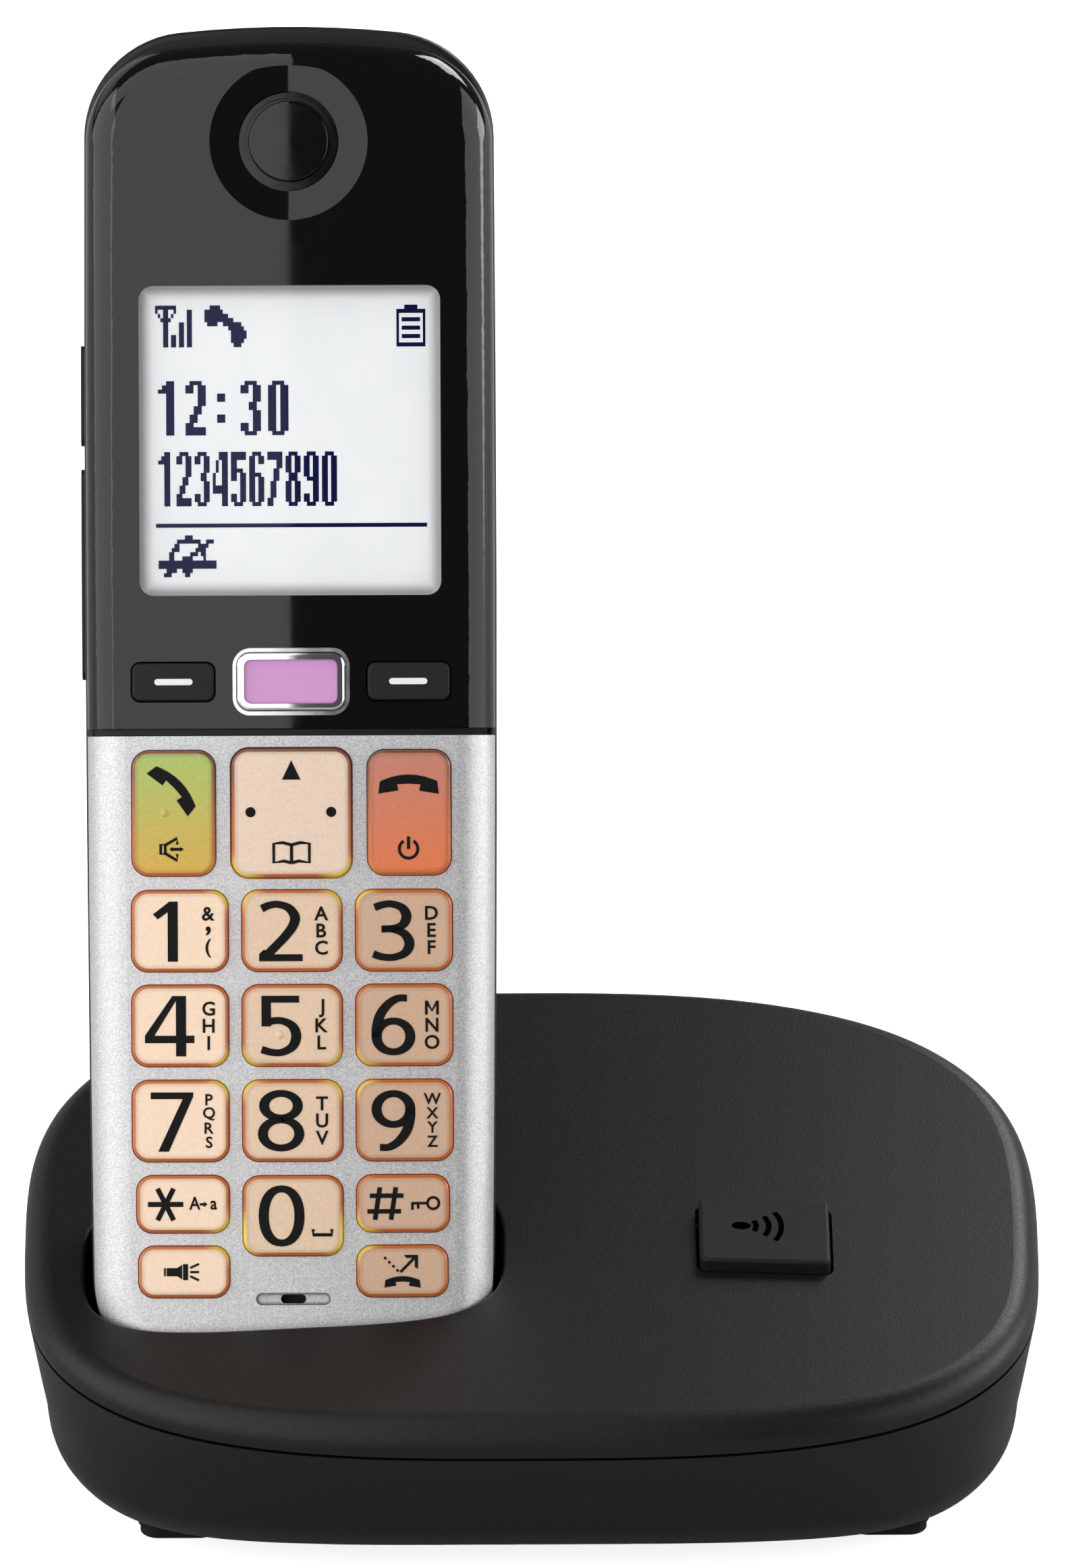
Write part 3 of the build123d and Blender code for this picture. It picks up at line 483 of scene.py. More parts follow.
class Print:
    """Thin printed shapes gathered in a plane (x, u) and laid on a curved or flat face."""

    def __init__(self):
        self.strips = []
        self.outlines = []

    def outline(self, points, dx=0.0, du=0.0):
        self.outlines.append([(x + dx, u + du) for x, u in points])

    def box(self, x, u, width, height):
        self.outline([(x, u), (x + width, u), (x + width, u + height), (x, u + height)])

    def stroke(self, points, wide, high=None, closed=False):
        """A line drawn by an elliptical nib, wide across and high up."""
        high = wide if high is None else high
        count = len(points)
        pairs = []
        for i, point in enumerate(points):
            before = points[(i - 1) % count] if closed or i > 0 else point
            after = points[(i + 1) % count] if closed or i < count - 1 else point
            run_x = after[0] - before[0]
            run_u = after[1] - before[1]
            length = math.hypot(run_x, run_u)
            side_x = -run_u / length
            side_u = run_x / length
            half = math.hypot(wide * side_x, high * side_u) / 2
            pairs.append(((point[0] + side_x * half, point[1] + side_u * half),
                          (point[0] - side_x * half, point[1] - side_u * half)))
        self.strips.append((pairs, closed))

    def ring(self, x, u, radius_x, radius_u, wide, high=None, start=0.0, turn=360.0, count=32, power=1.0):
        """A ring or, with a turn below 360 degrees, an arc; a power below 1 makes it squarer."""
        closed = turn >= 360.0
        points = []
        for i in range(count if closed else count + 1):
            angle = math.radians(start + turn * i / count)
            c = math.cos(angle)
            s = math.sin(angle)
            points.append((x + radius_x * math.copysign(abs(c) ** power, c),
                           u + radius_u * math.copysign(abs(s) ** power, s)))
        self.stroke(points, wide, high, closed)

    def disc(self, x, u, radius):
        count = 24
        turn = 2 * math.pi / count
        self.outline([(x + radius * math.cos(turn * i), u + radius * math.sin(turn * i))
                      for i in range(count)])

    def build(self, name, body, material, lay, thickness=PRINT_RISE):
        """Closed thin solids on lay(x, u, height), which gives the 3-D point at a height over the face."""
        mesh = bmesh.new()

        def prism(loop):
            top = [mesh.verts.new(lay(x, u, thickness)) for x, u in loop]
            bottom = [mesh.verts.new(lay(x, u, PRINT_UNDERSIDE)) for x, u in loop]
            for a, b, c in tessellate_polygon([[Vector((x, u, 0)) for x, u in loop]]):
                mesh.faces.new((top[a], top[b], top[c]))
                mesh.faces.new((bottom[c], bottom[b], bottom[a]))
            for i in range(len(loop)):
                j = (i + 1) % len(loop)
                mesh.faces.new((top[j], top[i], bottom[i], bottom[j]))

        for loop in self.outlines:
            area = sum(a[0] * b[1] - b[0] * a[1] for a, b in zip(loop, loop[1:] + loop[:1]))
            prism(loop if area > 0 else loop[::-1])
        for pairs, closed in self.strips:
            rings = []
            for left, right in pairs:
                corners = (lay(*left, thickness), lay(*right, thickness),
                           lay(*right, PRINT_UNDERSIDE), lay(*left, PRINT_UNDERSIDE))
                rings.append([mesh.verts.new(corner) for corner in corners])
            last = len(rings) if closed else len(rings) - 1
            for i in range(last):
                here = rings[i]
                there = rings[(i + 1) % len(rings)]
                for k in range(4):
                    m = (k + 1) % 4
                    mesh.faces.new((here[k], here[m], there[m], there[k]))
            if not closed:
                mesh.faces.new(list(reversed(rings[0])))
                mesh.faces.new(rings[-1])
        made = add_object(name, closed_mesh(name, mesh, material))
        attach(made, body)


CURVE_STEPS = 7


def smooth(points):
    """A smooth line through the points (Catmull-Rom)."""
    padded = [points[0]] + list(points) + [points[-1]]
    line = []
    for i in range(1, len(padded) - 2):
        p0, p1, p2, p3 = padded[i - 1:i + 3]
        for step in range(CURVE_STEPS):
            t = step / CURVE_STEPS
            line.append(tuple(0.5 * (2 * b + (c - a) * t + (2 * a - 5 * b + 4 * c - d) * t * t
                                     + (3 * b - a - 3 * c + d) * t ** 3)
                              for a, b, c, d in zip(p0, p1, p2, p3)))
    line.append(points[-1])
    return line


NIB_WIDE = 1.24
NIB_HIGH = 0.85


def draw_digit(art, digit, x, u):
    """A large humanist digit, 7.35 mm high, with its lower left corner at (x, u)."""
    def move(points):
        return [(x + px, u + pu) for px, pu in points]

    def curve(points):
        art.stroke(smooth(move(points)), NIB_WIDE, NIB_HIGH)

    if digit == "1":
        art.outline([(1.8, 0), (3.04, 0), (3.04, 7.32), (2.01, 7.32), (0, 5.77), (0.6, 5.15), (1.8, 6.03)],
                    x, u)
    elif digit == "2":
        curve([(0.32, 6.40), (1.2, 6.80), (2.3, 6.93), (3.6, 6.50), (4.36, 5.45), (4.15, 4.35), (3.25, 3.1),
               (2.2, 2.0), (1.25, 1.05), (0.72, 0.5)])
        art.box(x, u, 5.3, 0.85)
        art.outline([(0, 0.1), (0.05, 0.95), (0.6, 1.45), (1.2, 0.85)], x, u)
    elif digit == "3":
        curve([(0.3, 6.50), (1.3, 6.83), (2.4, 6.92), (3.65, 6.45), (4.2, 5.45), (3.75, 4.4), (2.6, 3.95),
               (1.15, 3.87)])
        curve([(1.15, 3.87), (2.6, 3.83), (3.95, 3.25), (4.55, 2.1), (4.0, 0.95), (2.6, 0.42), (1.2, 0.48),
               (0.12, 0.85)])
    elif digit == "4":
        art.box(x + 3.79, u, 1.24, 7.37)
        art.box(x, u + 1.62, 6.03, 0.91)
        art.outline([(0, 2.53), (3.35, 7.37), (3.85, 7.37), (3.85, 6.85), (1.16, 2.53)], x, u)
    elif digit == "5":
        art.box(x + 0.05, u + 6.5, 4.6, 0.85)
        art.box(x + 0.05, u + 3.62, 1.16, 3.7)
        curve([(0.62, 4.02), (1.5, 4.30), (2.7, 4.25), (3.85, 3.6), (4.28, 2.4), (3.8, 1.15), (2.5, 0.45),
               (1.2, 0.48), (0.05, 0.82)])
    elif digit == "6":
        curve([(4.35, 6.98), (3.2, 6.95), (2.0, 6.2), (1.05, 4.9), (0.65, 3.3), (0.66, 2.2)])
        art.ring(x + 2.68, u + 2.32, 2.06, 1.88, NIB_WIDE, NIB_HIGH)
    elif digit == "7":
        art.outline([(0, 7.22), (5.2, 7.22), (5.2, 6.72), (2.2, 0), (0.9, 0), (3.9, 6.4), (0, 6.4)], x, u)
    elif digit == "8":
        art.ring(x + 2.83, u + 5.55, 2.05, 1.50, NIB_WIDE, NIB_HIGH)
        art.ring(x + 2.83, u + 2.12, 2.22, 1.72, NIB_WIDE, NIB_HIGH)
    elif digit == "9":
        curve([(0.95, 0.42), (2.1, 0.45), (3.3, 1.2), (4.25, 2.5), (4.65, 4.1), (4.64, 5.2)])
        art.ring(x + 2.62, u + 5.08, 2.06, 1.88, NIB_WIDE, NIB_HIGH)
    elif digit == "0":
        art.ring(x + 2.8, u + 3.72, 2.18, 3.30, NIB_WIDE, NIB_HIGH, power=0.92)


FONT_BOLDER = 0.02
FONT_CAP_HEIGHT = 0.72


def text_mesh(words, size):
    """The built-in font's outline of a word as a thin mesh, centred on its own box, in millimetres."""
    curve = bpy.data.curves.new("lettering", "FONT")
    curve.body = words
    curve.size = size
    curve.resolution_u = 3
    curve.extrude = 0.02
    curve.offset = FONT_BOLDER * size
    holder = add_object("lettering", curve)
    bpy.context.view_layer.update()
    mesh = bpy.data.meshes.new_from_object(holder.evaluated_get(bpy.context.evaluated_depsgraph_get()))
    bpy.data.objects.remove(holder)
    xs = [vertex.co.x for vertex in mesh.vertices]
    ys = [vertex.co.y for vertex in mesh.vertices]
    shift = Vector(((min(xs) + max(xs)) / 2, (min(ys) + max(ys)) / 2, 0))
    for vertex in mesh.vertices:
        vertex.co -= shift
    return mesh


def letter(name, words, height, x, u, lay, body, material, stretch=1.0):
    """A small letter whose middle is at (x, u) on a face."""
    mesh = text_mesh(words, height / FONT_CAP_HEIGHT)
    for vertex in mesh.vertices:
        raised = PRINT_RISE if vertex.co.z > 0 else PRINT_UNDERSIDE
        vertex.co = lay(x + vertex.co.x * stretch, u + vertex.co.y, raised)
    mesh.materials.clear()
    mesh.materials.append(material)
    made = add_object(name, mesh)
    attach(made, body)


def cap_face(node):
    """The function that lays points on a key's face, x and u from the key's middle, at a height over it."""
    low, high = local_extent(node, deepest=CAP_DEPTH)
    middle_x = (low[0] + high[0]) / 2
    middle_u = (low[2] + high[2]) / 2
    nearest = min(crown(abs(x)) for x in (low[0], high[0])) if low[0] * high[0] > 0 else 0.0
    rise = nearest - low[1]

    def lay(x, u, height):
        across = middle_x + x
        return place(across, crown(abs(across)) - rise - height, middle_u + u)

    return lay


# ------------------------------------------------------------------ legends on the digit keys
DIGIT_BOTTOM = -3.72
DIGITS = {"key_1": ("1", -3.3), "key_2": ("2", -4.0), "key_3": ("3", -3.87), "key_4": ("4", -4.33),
          "key_5": ("5", -3.8), "key_6": ("6", -4.0), "key_7": ("7", -3.66), "key_8": ("8", -4.25),
          "key_9": ("9", -3.98), "key_0": ("0", -4.2)}
LETTERS = {"key_1": "&’(", "key_2": "ABC", "key_3": "DEF", "key_4": "GHI", "key_5": "JKL", "key_6": "MNO",
           "key_7": "PQRS", "key_8": "TUV", "key_9": "WXYZ"}
LETTER_X = (3.45, 3.58, 3.38)
# Pitch and height of a column of three letters, and of one of four.
THREE_LETTERS = (2.09, 1.7)
FOUR_LETTERS = (1.73, 1.38)
APOSTROPHE_LARGER = 1.6
LETTER_STROKE = 0.34
for node, (digit, left) in DIGITS.items():
    lay = cap_face(node)
    art = Print()
    draw_digit(art, digit, left, DIGIT_BOTTOM)
    if node == "key_0":
        art.stroke([(2.45, -1.62), (2.45, -2.32), (4.7, -2.32), (4.7, -1.62)], 0.42)
    art.build("legend_" + node, node, INK, lay)
    group = LETTERS.get(node, "")
    pitch, height = FOUR_LETTERS if len(group) == 4 else THREE_LETTERS
    for place_in_group, sign in enumerate(group):
        rise = ((len(group) - 1) / 2 - place_in_group) * pitch
        name = f"letter_{node}_{place_in_group}"
        if sign == "M":  # drawn by strokes, not by the font
            art = Print()
            art.stroke([(2.7, rise - 0.85), (2.7, rise + 0.85)], LETTER_STROKE)
            art.stroke([(4.06, rise - 0.85), (4.06, rise + 0.85)], LETTER_STROKE)
            art.stroke([(2.72, rise + 0.8), (3.38, rise - 0.35), (4.04, rise + 0.8)], LETTER_STROKE)
            art.build(name, node, INK, lay)
            continue
        size = height * APOSTROPHE_LARGER if sign == "’" else height
        letter(name, sign, size, LETTER_X[COLUMNS[node]], rise, lay, node, INK)


# ------------------------------------------------------------------ icons
def receiver(art, x, u, size, degrees):
    """A telephone receiver seen from the side, arched upwards at 0 degrees."""
    arch = [(-3.69, -1.16), (-3.5, 0.35)]
    arch += [(px, 0.35 + 0.82 * (1 - (px / 3.5) ** 2)) for px in range(-3, 4)]
    arch += [(3.5, 0.35), (3.69, -1.2), (1.3, -0.82), (1.45, -0.05),
             (0.0, 0.05), (-1.4, -0.02), (-1.25, -0.77)]
    turn = math.radians(degrees)
    art.outline([(x + size * (px * math.cos(turn) - pu * math.sin(turn)),
                  u + size * (px * math.sin(turn) + pu * math.cos(turn))) for px, pu in arch])


def talk_icons():
    art = Print()
    receiver(art, 0.05, 3.05, 0.98, -46)
    art.stroke([(-1.6, -3.8), (-1.6, -4.95), (-1.05, -4.95), (-1.05, -3.8)], 0.37, closed=True)
    art.stroke([(-1.05, -3.87), (0.4, -3.05), (0.4, -3.8)], 0.37)
    art.stroke([(-1.05, -4.88), (0.4, -5.75), (0.4, -4.96)], 0.37)
    art.stroke([(-0.2, -4.38), (0.95, -4.38)], 0.37)
    art.outline([(-0.55, -4.38), (-0.15, -4.08), (-0.15, -4.68)])
    art.outline([(1.22, -4.38), (0.8, -4.08), (0.8, -4.68)])
    return art


def off_icons():
    art = Print()
    receiver(art, -0.05, 3.45, 1.0, 0)
    art.ring(-0.08, -4.45, 1.13, 1.13, 0.37, start=122, turn=296, count=28)
    art.stroke([(-0.08, -2.92), (-0.08, -4.45)], 0.4)
    return art


def navigation_icons():
    art = Print()
    art.outline([(-1.13, 4.05), (1.13, 4.05), (0, 6.4)])
    art.disc(-4.98, 0.1, 0.62)
    art.disc(4.85, 0.1, 0.62)
    for side in (-1, 1):
        page = [(0, -6.1), (side * 0.9, -5.86), (side * 2.17, -6.05), (side * 2.17, -3.75),
                (side * 1.1, -3.62), (0, -3.9)]
        art.stroke(page, 0.38)
    art.stroke([(0, -3.9), (0, -6.15)], 0.4)
    return art


def star_icons():
    art = Print()
    middle = -2.14
    art.stroke([(middle - 2.16, 0), (middle + 2.16, 0)], 0.62)
    for side in (-1, 1):
        art.stroke([(middle - side * 0.98, -1.93), (middle + side * 0.98, 1.93)], 0.62)
    art.stroke([(2.02, 0.0), (2.62, 0.0)], 0.3)
    art.outline([(3.0, 0.0), (2.5, 0.34), (2.5, -0.34)])
    return art


def hash_icons():
    art = Print()
    middle = -2.14
    slant = 0.3
    for side in (-1, 1):
        post = middle + side * 0.97
        bar = middle + side * 0.15
        art.stroke([(post - slant, -1.98), (post + slant, 1.98)], 0.58)
        art.stroke([(bar - 2.05, side * 0.95), (bar + 2.05, side * 0.95)], 0.56)
    art.ring(3.68, 0.02, 0.7, 0.7, 0.33)
    art.stroke([(3.0, 0.02), (1.0, 0.02)], 0.33)
    art.stroke([(1.15, 0.0), (1.15, -0.8)], 0.33)
    art.stroke([(1.85, 0.0), (1.85, -0.65)], 0.33)
    return art


def torch_icons():
    art = Print()
    art.box(-2.47, -0.5, 0.22, 1.0)
    art.outline([(-2.15, -0.5), (-0.85, -0.5), (-0.25, -0.9), (-0.25, 0.9), (-0.85, 0.5), (-2.15, 0.5)])
    art.box(-0.15, -0.98, 0.62, 1.96)
    for rise in (-1, 0, 1):
        art.stroke([(0.72, rise * 0.5), (1.8, rise * 1.0)], 0.28)
    return art


def block_icons():
    art = Print()
    receiver(art, 0.0, -1.3, 0.6, 0)
    art.stroke([(-0.25, -0.12), (1.45, 1.6)], 0.34)
    art.outline([(0.2, 1.98), (1.9, 1.98), (1.9, 0.25), (1.5, 0.5), (1.5, 1.6), (0.45, 1.6)])
    for step in range(4):
        side = -2.1 + 0.5 * step
        art.stroke([(side - 0.12, 1.72 - 0.5 * step), (side + 0.13, 1.47 - 0.5 * step)], 0.3)
    return art


ICONS = {"talk_key": talk_icons, "off_key": off_icons, "navigation_key": navigation_icons,
         "key_star": star_icons, "key_hash": hash_icons, "torch_key": torch_icons,
         "call_block_key": block_icons}
STAR_LETTER_HEIGHT = 1.6
STAR_LETTER_STRETCH = 0.85
for node, draw in ICONS.items():
    draw().build("icon_" + node, node, INK, cap_face(node))
for index, (sign, x, u) in enumerate((("A", 1.42, 0.15), ("a", 3.72, -0.1))):
    letter(f"letter_star_{index}", sign, STAR_LETTER_HEIGHT, x, u, cap_face("key_star"), "key_star", INK,
           STAR_LETTER_STRETCH)
DASH_HALF_LENGTH = 1.95
DASH_HALF_HEIGHT = 0.38
for node in ("soft_key_left", "soft_key_right"):
    dash = Print()
    dash.box(-DASH_HALF_LENGTH, -DASH_HALF_HEIGHT, 2 * DASH_HALF_LENGTH, 2 * DASH_HALF_HEIGHT)
    for x in (-DASH_HALF_LENGTH, DASH_HALF_LENGTH):
        dash.ring(x, 0, DASH_HALF_HEIGHT / 2, DASH_HALF_HEIGHT / 2, DASH_HALF_HEIGHT)
    dash.build("dash_" + node, node, WHITE_PRINT, cap_face(node))


TACTILE_HEIGHT = 0.28
TACTILE_FOOT = 0.02


def tactile_dot(name, node, x, u, radius):
    """A low moulded dome, in the key's own finish, that a fingertip finds."""
    lay = cap_face(node)
    mesh = bmesh.new()
    rings = 5
    count = 20
    previous = None
    for ring in range(rings):
        angle = math.pi / 2 * ring / rings
        reach = radius * math.cos(angle)
        height = TACTILE_HEIGHT * math.sin(angle) - TACTILE_FOOT
        turns = [2 * math.pi * i / count for i in range(count)]
        loop = [mesh.verts.new(lay(x + reach * math.cos(turn), u + reach * math.sin(turn), height))
                for turn in turns]
        if previous:
            for i in range(count):
                j = (i + 1) % count
                mesh.faces.new((previous[i], previous[j], loop[j], loop[i]))
        else:
            mesh.faces.new(list(reversed(loop)))
        previous = loop
    mesh.faces.new(previous)
    data = closed_mesh(name, mesh, NODES[node].data.materials[0])
    for polygon in data.polygons:
        polygon.use_smooth = True
    made = add_object(name, data)
    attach(made, node)


tactile_dot("tactile_dot_5", "key_5", -1.55, -1.13, 0.52)
tactile_dot("tactile_dot_talk", "talk_key", -1.13, 0.05, 0.5)

# ------------------------------------------------------------------ display picture
DISPLAY_FACE_Y = local_extent("lcd_module")[0][1]
# Each sign is thirteen rows of five dots, top row first.
DOT_DIGITS = {
    "1": "..##. .###. ####. ..##. ..##. ..##. ..##. ..##. ..##. ..##. ..##. ..##. ..##.",
    "2": ".###. ##.## ##.## ...## ...## ...## ..##. ..##. .##.. .##.. ##... ##### #####",
    "3": ".###. ##.## ##.## ...## ...## ..##. ..##. ...## ...## ...## ##.## ##.## .###.",
    "4": "..### ..### .#.## .#.## .#.## #..## #..## #..## ##### ##### ...## ...## ...##",
    "5": "##### ##### ##... ##... ####. ##.## ##.## ...## ...## ...## ##.## ##.## .###.",
    "6": ".###. ##.## ##.## ##... ##... ####. ##.## ##.## ##.## ##.## ##.## ##.## .###.",
    "7": "##### ##### ...## ...## ..##. ..##. ..##. .##.. .##.. .##.. .##.. ##... ##...",
    "8": ".###. ##.## ##.## ##.## ##.## .###. .###. ##.## ##.## ##.## ##.## ##.## .###.",
    "9": ".###. ##.## ##.## ##.## ##.## ##.## .#### ...## ...## ...## ##.## ##.## .###.",
    "0": ".###. ##.## ##.## ##.## ##.## ##.## ##.## ##.## ##.## ##.## ##.## ##.## .###.",
    ":": "..... ..... ..... .##.. .##.. ..... ..... ..... .##.. .##.. ..... ..... .....",
}
DOT_COLUMN = 0.322
DOT_ROW = 0.512


def lay_on_display(x, u, height):
    return place(x, DISPLAY_FACE_Y - height, u)


def runs(art, lit, columns, rows, x, u, wide, high):
    """Draws the lit dots of a grid whose upper left corner is at (x, u), joining those side by side."""
    for row in range(rows):
        column = 0
        while column < columns:
            if not lit(column, row):
                column += 1
                continue
            end = column
            while end < columns and lit(end, row):
                end += 1
            art.box(x + column * wide, u - (row + 1) * high, (end - column) * wide, high)
            column = end


def dot_text(art, words, x, u, pitch, wide):
    for index, sign in enumerate(words):
        rows = DOT_DIGITS[sign].split()
        runs(art, lambda column, row: rows[row][column] == "#", 5, 13, x + index * pitch, u, wide, DOT_ROW)


def dot_icon(art, strokes, columns, rows, x, u):
    """Strokes (x0, y0, x1, y1, half thickness), in columns and rows up, shown by the dots they cover."""
    def lit(column, row):
        px = column + 0.5
        py = rows - row - 0.5
        for x0, y0, x1, y1, half in strokes:
            run = ((x1 - x0) ** 2 + (y1 - y0) ** 2) or 1.0
            part = max(0.0, min(1.0, ((px - x0) * (x1 - x0) + (py - y0) * (y1 - y0)) / run))
            if math.hypot(px - x0 - part * (x1 - x0), py - y0 - part * (y1 - y0)) <= half:
                return True
        return False

    runs(art, lit, columns, rows, x, u, DOT_COLUMN, DOT_ROW)


def boxes(art, x, u, parts):
    """Boxes (column, row up, columns, rows) on the dot grid from a lower left corner."""
    for column, row, wide, high in parts:
        art.box(x + column * DOT_COLUMN, u + row * DOT_ROW, wide * DOT_COLUMN, high * DOT_ROW)


SCREEN_LEFT = -16.4
TEXT_LEFT = -16.1
ICONS_U = 128.65
BATTERY_X = 13.05
RECEIVER_X = -10.7
ICON_ROWS = 10
picture = Print()
# Aerial and signal bars.
boxes(picture, SCREEN_LEFT, ICONS_U, [(0, 9, 8, 1), (0, 8, 1, 1), (7, 8, 1, 1), (1, 7, 1, 1), (6, 7, 1, 1),
                                      (2, 6, 4, 1), (3, 0, 2, 9), (6, 0, 2, 3), (9, 0, 2, 6), (12, 0, 2, 9)])
dot_icon(picture, [(3.2, 7.2, 5.6, 7.9, 2.3), (6.5, 7.9, 13.5, 4.2, 1.25), (13.4, 2.3, 14.4, 3.4, 2.3)],
         17, ICON_ROWS, RECEIVER_X, ICONS_U + ICON_ROWS * DOT_ROW)
boxes(picture, BATTERY_X, ICONS_U, [(3, 9, 5, 1), (0, 8, 11, 1), (0, 0, 11, 1), (0, 1, 1, 7), (10, 1, 1, 7),
                                    (2, 2, 7, 1), (2, 4, 7, 1), (2, 6, 7, 1)])
dot_text(picture, "12:30", TEXT_LEFT, 124.55, 3.36, 0.5)
dot_text(picture, "1234567890", TEXT_LEFT, 115.9, 2.22, 0.37)
picture.box(SCREEN_LEFT, 106.65, 33.1, 0.5)
# A bell on its rim, struck through.
dot_icon(picture, [(5, 2.5, 5, 5.5, 0.9), (5, 5.5, 7.5, 7.6, 0.9), (7.5, 8.5, 15, 8.5, 0.75),
                   (15, 8.2, 17.5, 5.5, 0.8), (17.5, 5.5, 17.5, 2.5, 0.8), (11, 9.5, 12, 9.5, 1.0),
                   (0.5, 2.5, 21.5, 2.5, 0.6), (0.5, 3.5, 21.5, 3.5, 0.6), (10, 1.5, 12, 1.5, 0.8),
                   (10.5, 0.5, 11.5, 0.5, 0.6), (3, 0.4, 20, 8.7, 0.85)], 22, ICON_ROWS, TEXT_LEFT, 105.72)
picture.build("display_picture", "handset", DISPLAY_INK, lay_on_display, THIN_PRINT_RISE)

# ------------------------------------------------------------------ locator mark on the base button
button_low, button_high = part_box("locator_button")
BUTTON_X = (button_low.x + button_high.x) / 2 / MM
BUTTON_Y = (button_low.y + button_high.y) / 2 / MM
button_mesh = NODES["locator_button"].data
button_tree = BVHTree.FromPolygons([vertex.co.copy() for vertex in button_mesh.vertices],
                                   [tuple(face.vertices) for face in button_mesh.polygons])


def lay_on_button(x, y, height):
    """Point at a height over the button's top face, found by looking down on it."""
    above = Vector(((BUTTON_X + x) * MM, (BUTTON_Y + y) * MM, 1.0))
    hit = button_tree.ray_cast(above, Vector((0, 0, -1)))[0]
    return hit + Vector((0, 0, height * MM))


MARK_Y = 0.6
WAVE_REACHES = (1.8, 3.35, 4.9)
WAVE_STROKE = 0.68
mark = Print()
drop = []
for degrees in range(0, 360, 15):
    c = math.cos(math.radians(degrees))
    s = math.sin(math.radians(degrees))
    drop.append((-2.95 + 1.05 * c * (1.25 if c > 0 else 1.0), MARK_Y + 0.77 * s))
mark.outline(drop)
for reach in WAVE_REACHES:
    mark.ring(-2.8, MARK_Y, reach, reach * 1.12, WAVE_STROKE, start=-33, turn=66, count=10)
mark.build("locator_mark", "locator_button", ENGRAVED, lay_on_button, THIN_PRINT_RISE)


# ------------------------------------------------------------------ stage, camera and lights
FLOOR_REACH = 6.0


def studio_floor():
    """A pale floor: bright to the camera, darker in the light that it sends back."""
    data = bpy.data.meshes.new("floor")
    corners = [(x * FLOOR_REACH, y * FLOOR_REACH, 0) for x, y in ((-1, -1), (1, -1), (1, 1), (-1, 1))]
    data.from_pydata(corners, [], [(0, 1, 2, 3)])
    floor = add_object("floor", data)
    shader = Shader("floor_white", Roughness=0.8, Emission_Strength=0.8)
    seen = shader.node("ShaderNodeLightPath").outputs["Is Camera Ray"]
    shader.feed(shader.mix(seen, (0.5, 0.5, 0.5), (0.9, 0.9, 0.9)), "Base Color")
    shader.feed(shader.mix(seen, (0.0, 0.0, 0.0), (1.0, 1.0, 1.0)), "Emission Color")
    data.materials.append(shader.material)


WORLD_REFLECTED = 0.08


def studio_world():
    """White to the camera, dim to everything that reflects it."""
    world = bpy.data.worlds.new("studio")
    world.use_nodes = True
    bpy.context.scene.world = world
    nodes = world.node_tree.nodes
    links = world.node_tree.links
    background = nodes["Background"]
    path = nodes.new("ShaderNodeLightPath")
    mix = nodes.new("ShaderNodeMix")
    mix.data_type = "RGBA"
    mix.inputs[6].default_value = grey(WORLD_REFLECTED)
    mix.inputs[7].default_value = grey(1.0)
    links.new(path.outputs["Is Camera Ray"], mix.inputs[0])
    links.new(mix.outputs[2], background.inputs["Color"])


def area_light(name, position, shining, width, height, level):
    """A rectangular lamp that shines along a direction; level is the brightness of its face."""
    data = bpy.data.lights.new(name, "AREA")
    data.shape = "RECTANGLE"
    data.size = width
    data.size_y = height
    data.energy = math.pi * level * width * height
    made = add_object(name, data)
    made.location = position
    made.rotation_euler = shining.to_track_quat("-Z", "Y").to_euler()


# Azimuth from the front, distance in metres, and the height in metres that fills the view at that distance.
VIEW_AZIMUTH = math.radians(-0.5)
VIEW_ELEVATION = math.radians(30.0)
VIEW_DISTANCE = 2.0
VIEW_HEIGHT = 0.1916
SENSOR = 36.0
AIM = Vector((0.0003, 0.0, 0.0800))


def studio_camera():
    data = bpy.data.cameras.new("camera")
    data.sensor_fit = "VERTICAL"
    data.sensor_height = SENSOR
    data.lens = SENSOR * VIEW_DISTANCE / VIEW_HEIGHT
    data.clip_end = 50.0
    camera = add_object("camera", data)
    back = Vector((math.sin(VIEW_AZIMUTH) * math.cos(VIEW_ELEVATION),
                   -math.cos(VIEW_AZIMUTH) * math.cos(VIEW_ELEVATION), math.sin(VIEW_ELEVATION)))
    camera.location = AIM + back * VIEW_DISTANCE
    camera.rotation_euler = (-back).to_track_quat("-Z", "Y").to_euler()
    bpy.context.scene.camera = camera
    return camera


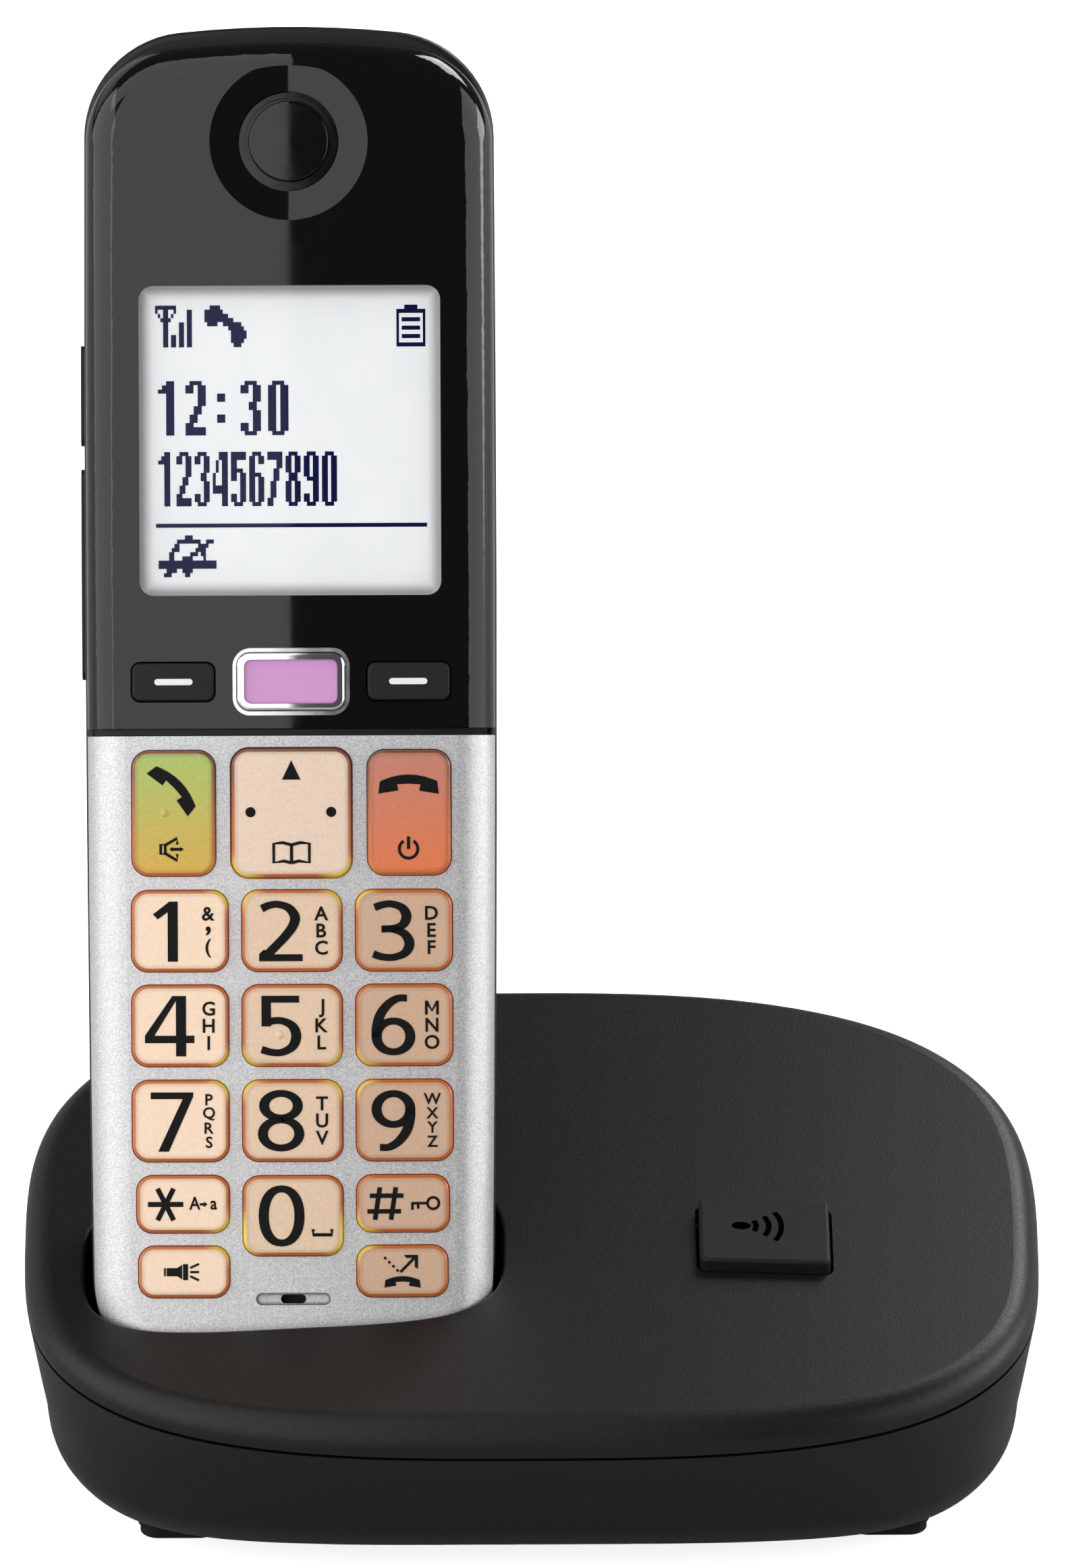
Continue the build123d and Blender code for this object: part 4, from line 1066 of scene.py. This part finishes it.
# Lamps: sizes and places in metres. The softboxes' places are measured from the handset's face.
FACE_U = 100
SOFTBOX_DISTANCE = 1.5
SOFTBOX_WIDTH = 1.5
SOFTBOX_HEIGHT = 2.3
SOFTBOX_RAISED = 0.1
SOFTBOX_LEVEL = 1.4
TOP_BOX_UP = 1.36
TOP_BOX_OUT = 0.75
TOP_BOX_WIDTH = 2.4
TOP_BOX_HEIGHT = 1.2
SIDE_TURN = math.radians(80.0)
SIDE_DISTANCE = 1.2
SIDE_SIZE = 1.6
SIDE_LAMPS = (("side_left", -1, 1.7), ("side_right", 1, 1.6))
# Name, place, point lit, width, height and level.
REAR_LAMPS = (("back_right", (0.62, 0.98, 0.74), (0.03, 0, 0.03), 0.6, 0.6, 6.5),
              ("rim_right", (0.95, 0.3, 0.22), (0.06, 0, 0.02), 0.5, 0.3, 4.0),
              ("back_left", (-0.9, 1.2, 0.45), (0, 0, 0.06), 1.2, 0.7, 0.5))


def studio_lights(camera):
    """Softboxes in front and above, which end along the handset's middle, and side, rear and rim lamps.

    The front softbox's right edge is where the camera sees it mirrored along that middle.
    """
    face = place(0, 0, FACE_U)
    out = -INTO
    to_camera = (camera.location - face).normalized()
    mirrored = 2 * out * out.dot(to_camera) - to_camera
    edge = face + mirrored * (SOFTBOX_DISTANCE / mirrored.dot(out))
    area_light("softbox_left", edge - ACROSS * SOFTBOX_WIDTH / 2 + UP * SOFTBOX_RAISED, -out,
               SOFTBOX_WIDTH, SOFTBOX_HEIGHT, SOFTBOX_LEVEL)
    above = UP * TOP_BOX_UP + out * TOP_BOX_OUT
    area_light("softbox_top", face + above - ACROSS * TOP_BOX_WIDTH / 2, -above,
               TOP_BOX_WIDTH, TOP_BOX_HEIGHT, SOFTBOX_LEVEL)
    for name, side, level in SIDE_LAMPS:
        aside = (out * math.cos(SIDE_TURN) + ACROSS * side * math.sin(SIDE_TURN)) * SIDE_DISTANCE
        area_light(name, face + aside, -aside, SIDE_SIZE, SIDE_SIZE, level)
    for name, position, target, width, height, level in REAR_LAMPS:
        area_light(name, position, Vector(target) - Vector(position), width, height, level)


studio_floor()
studio_world()
studio_lights(studio_camera())
bpy.context.scene.view_settings.view_transform = "Standard"
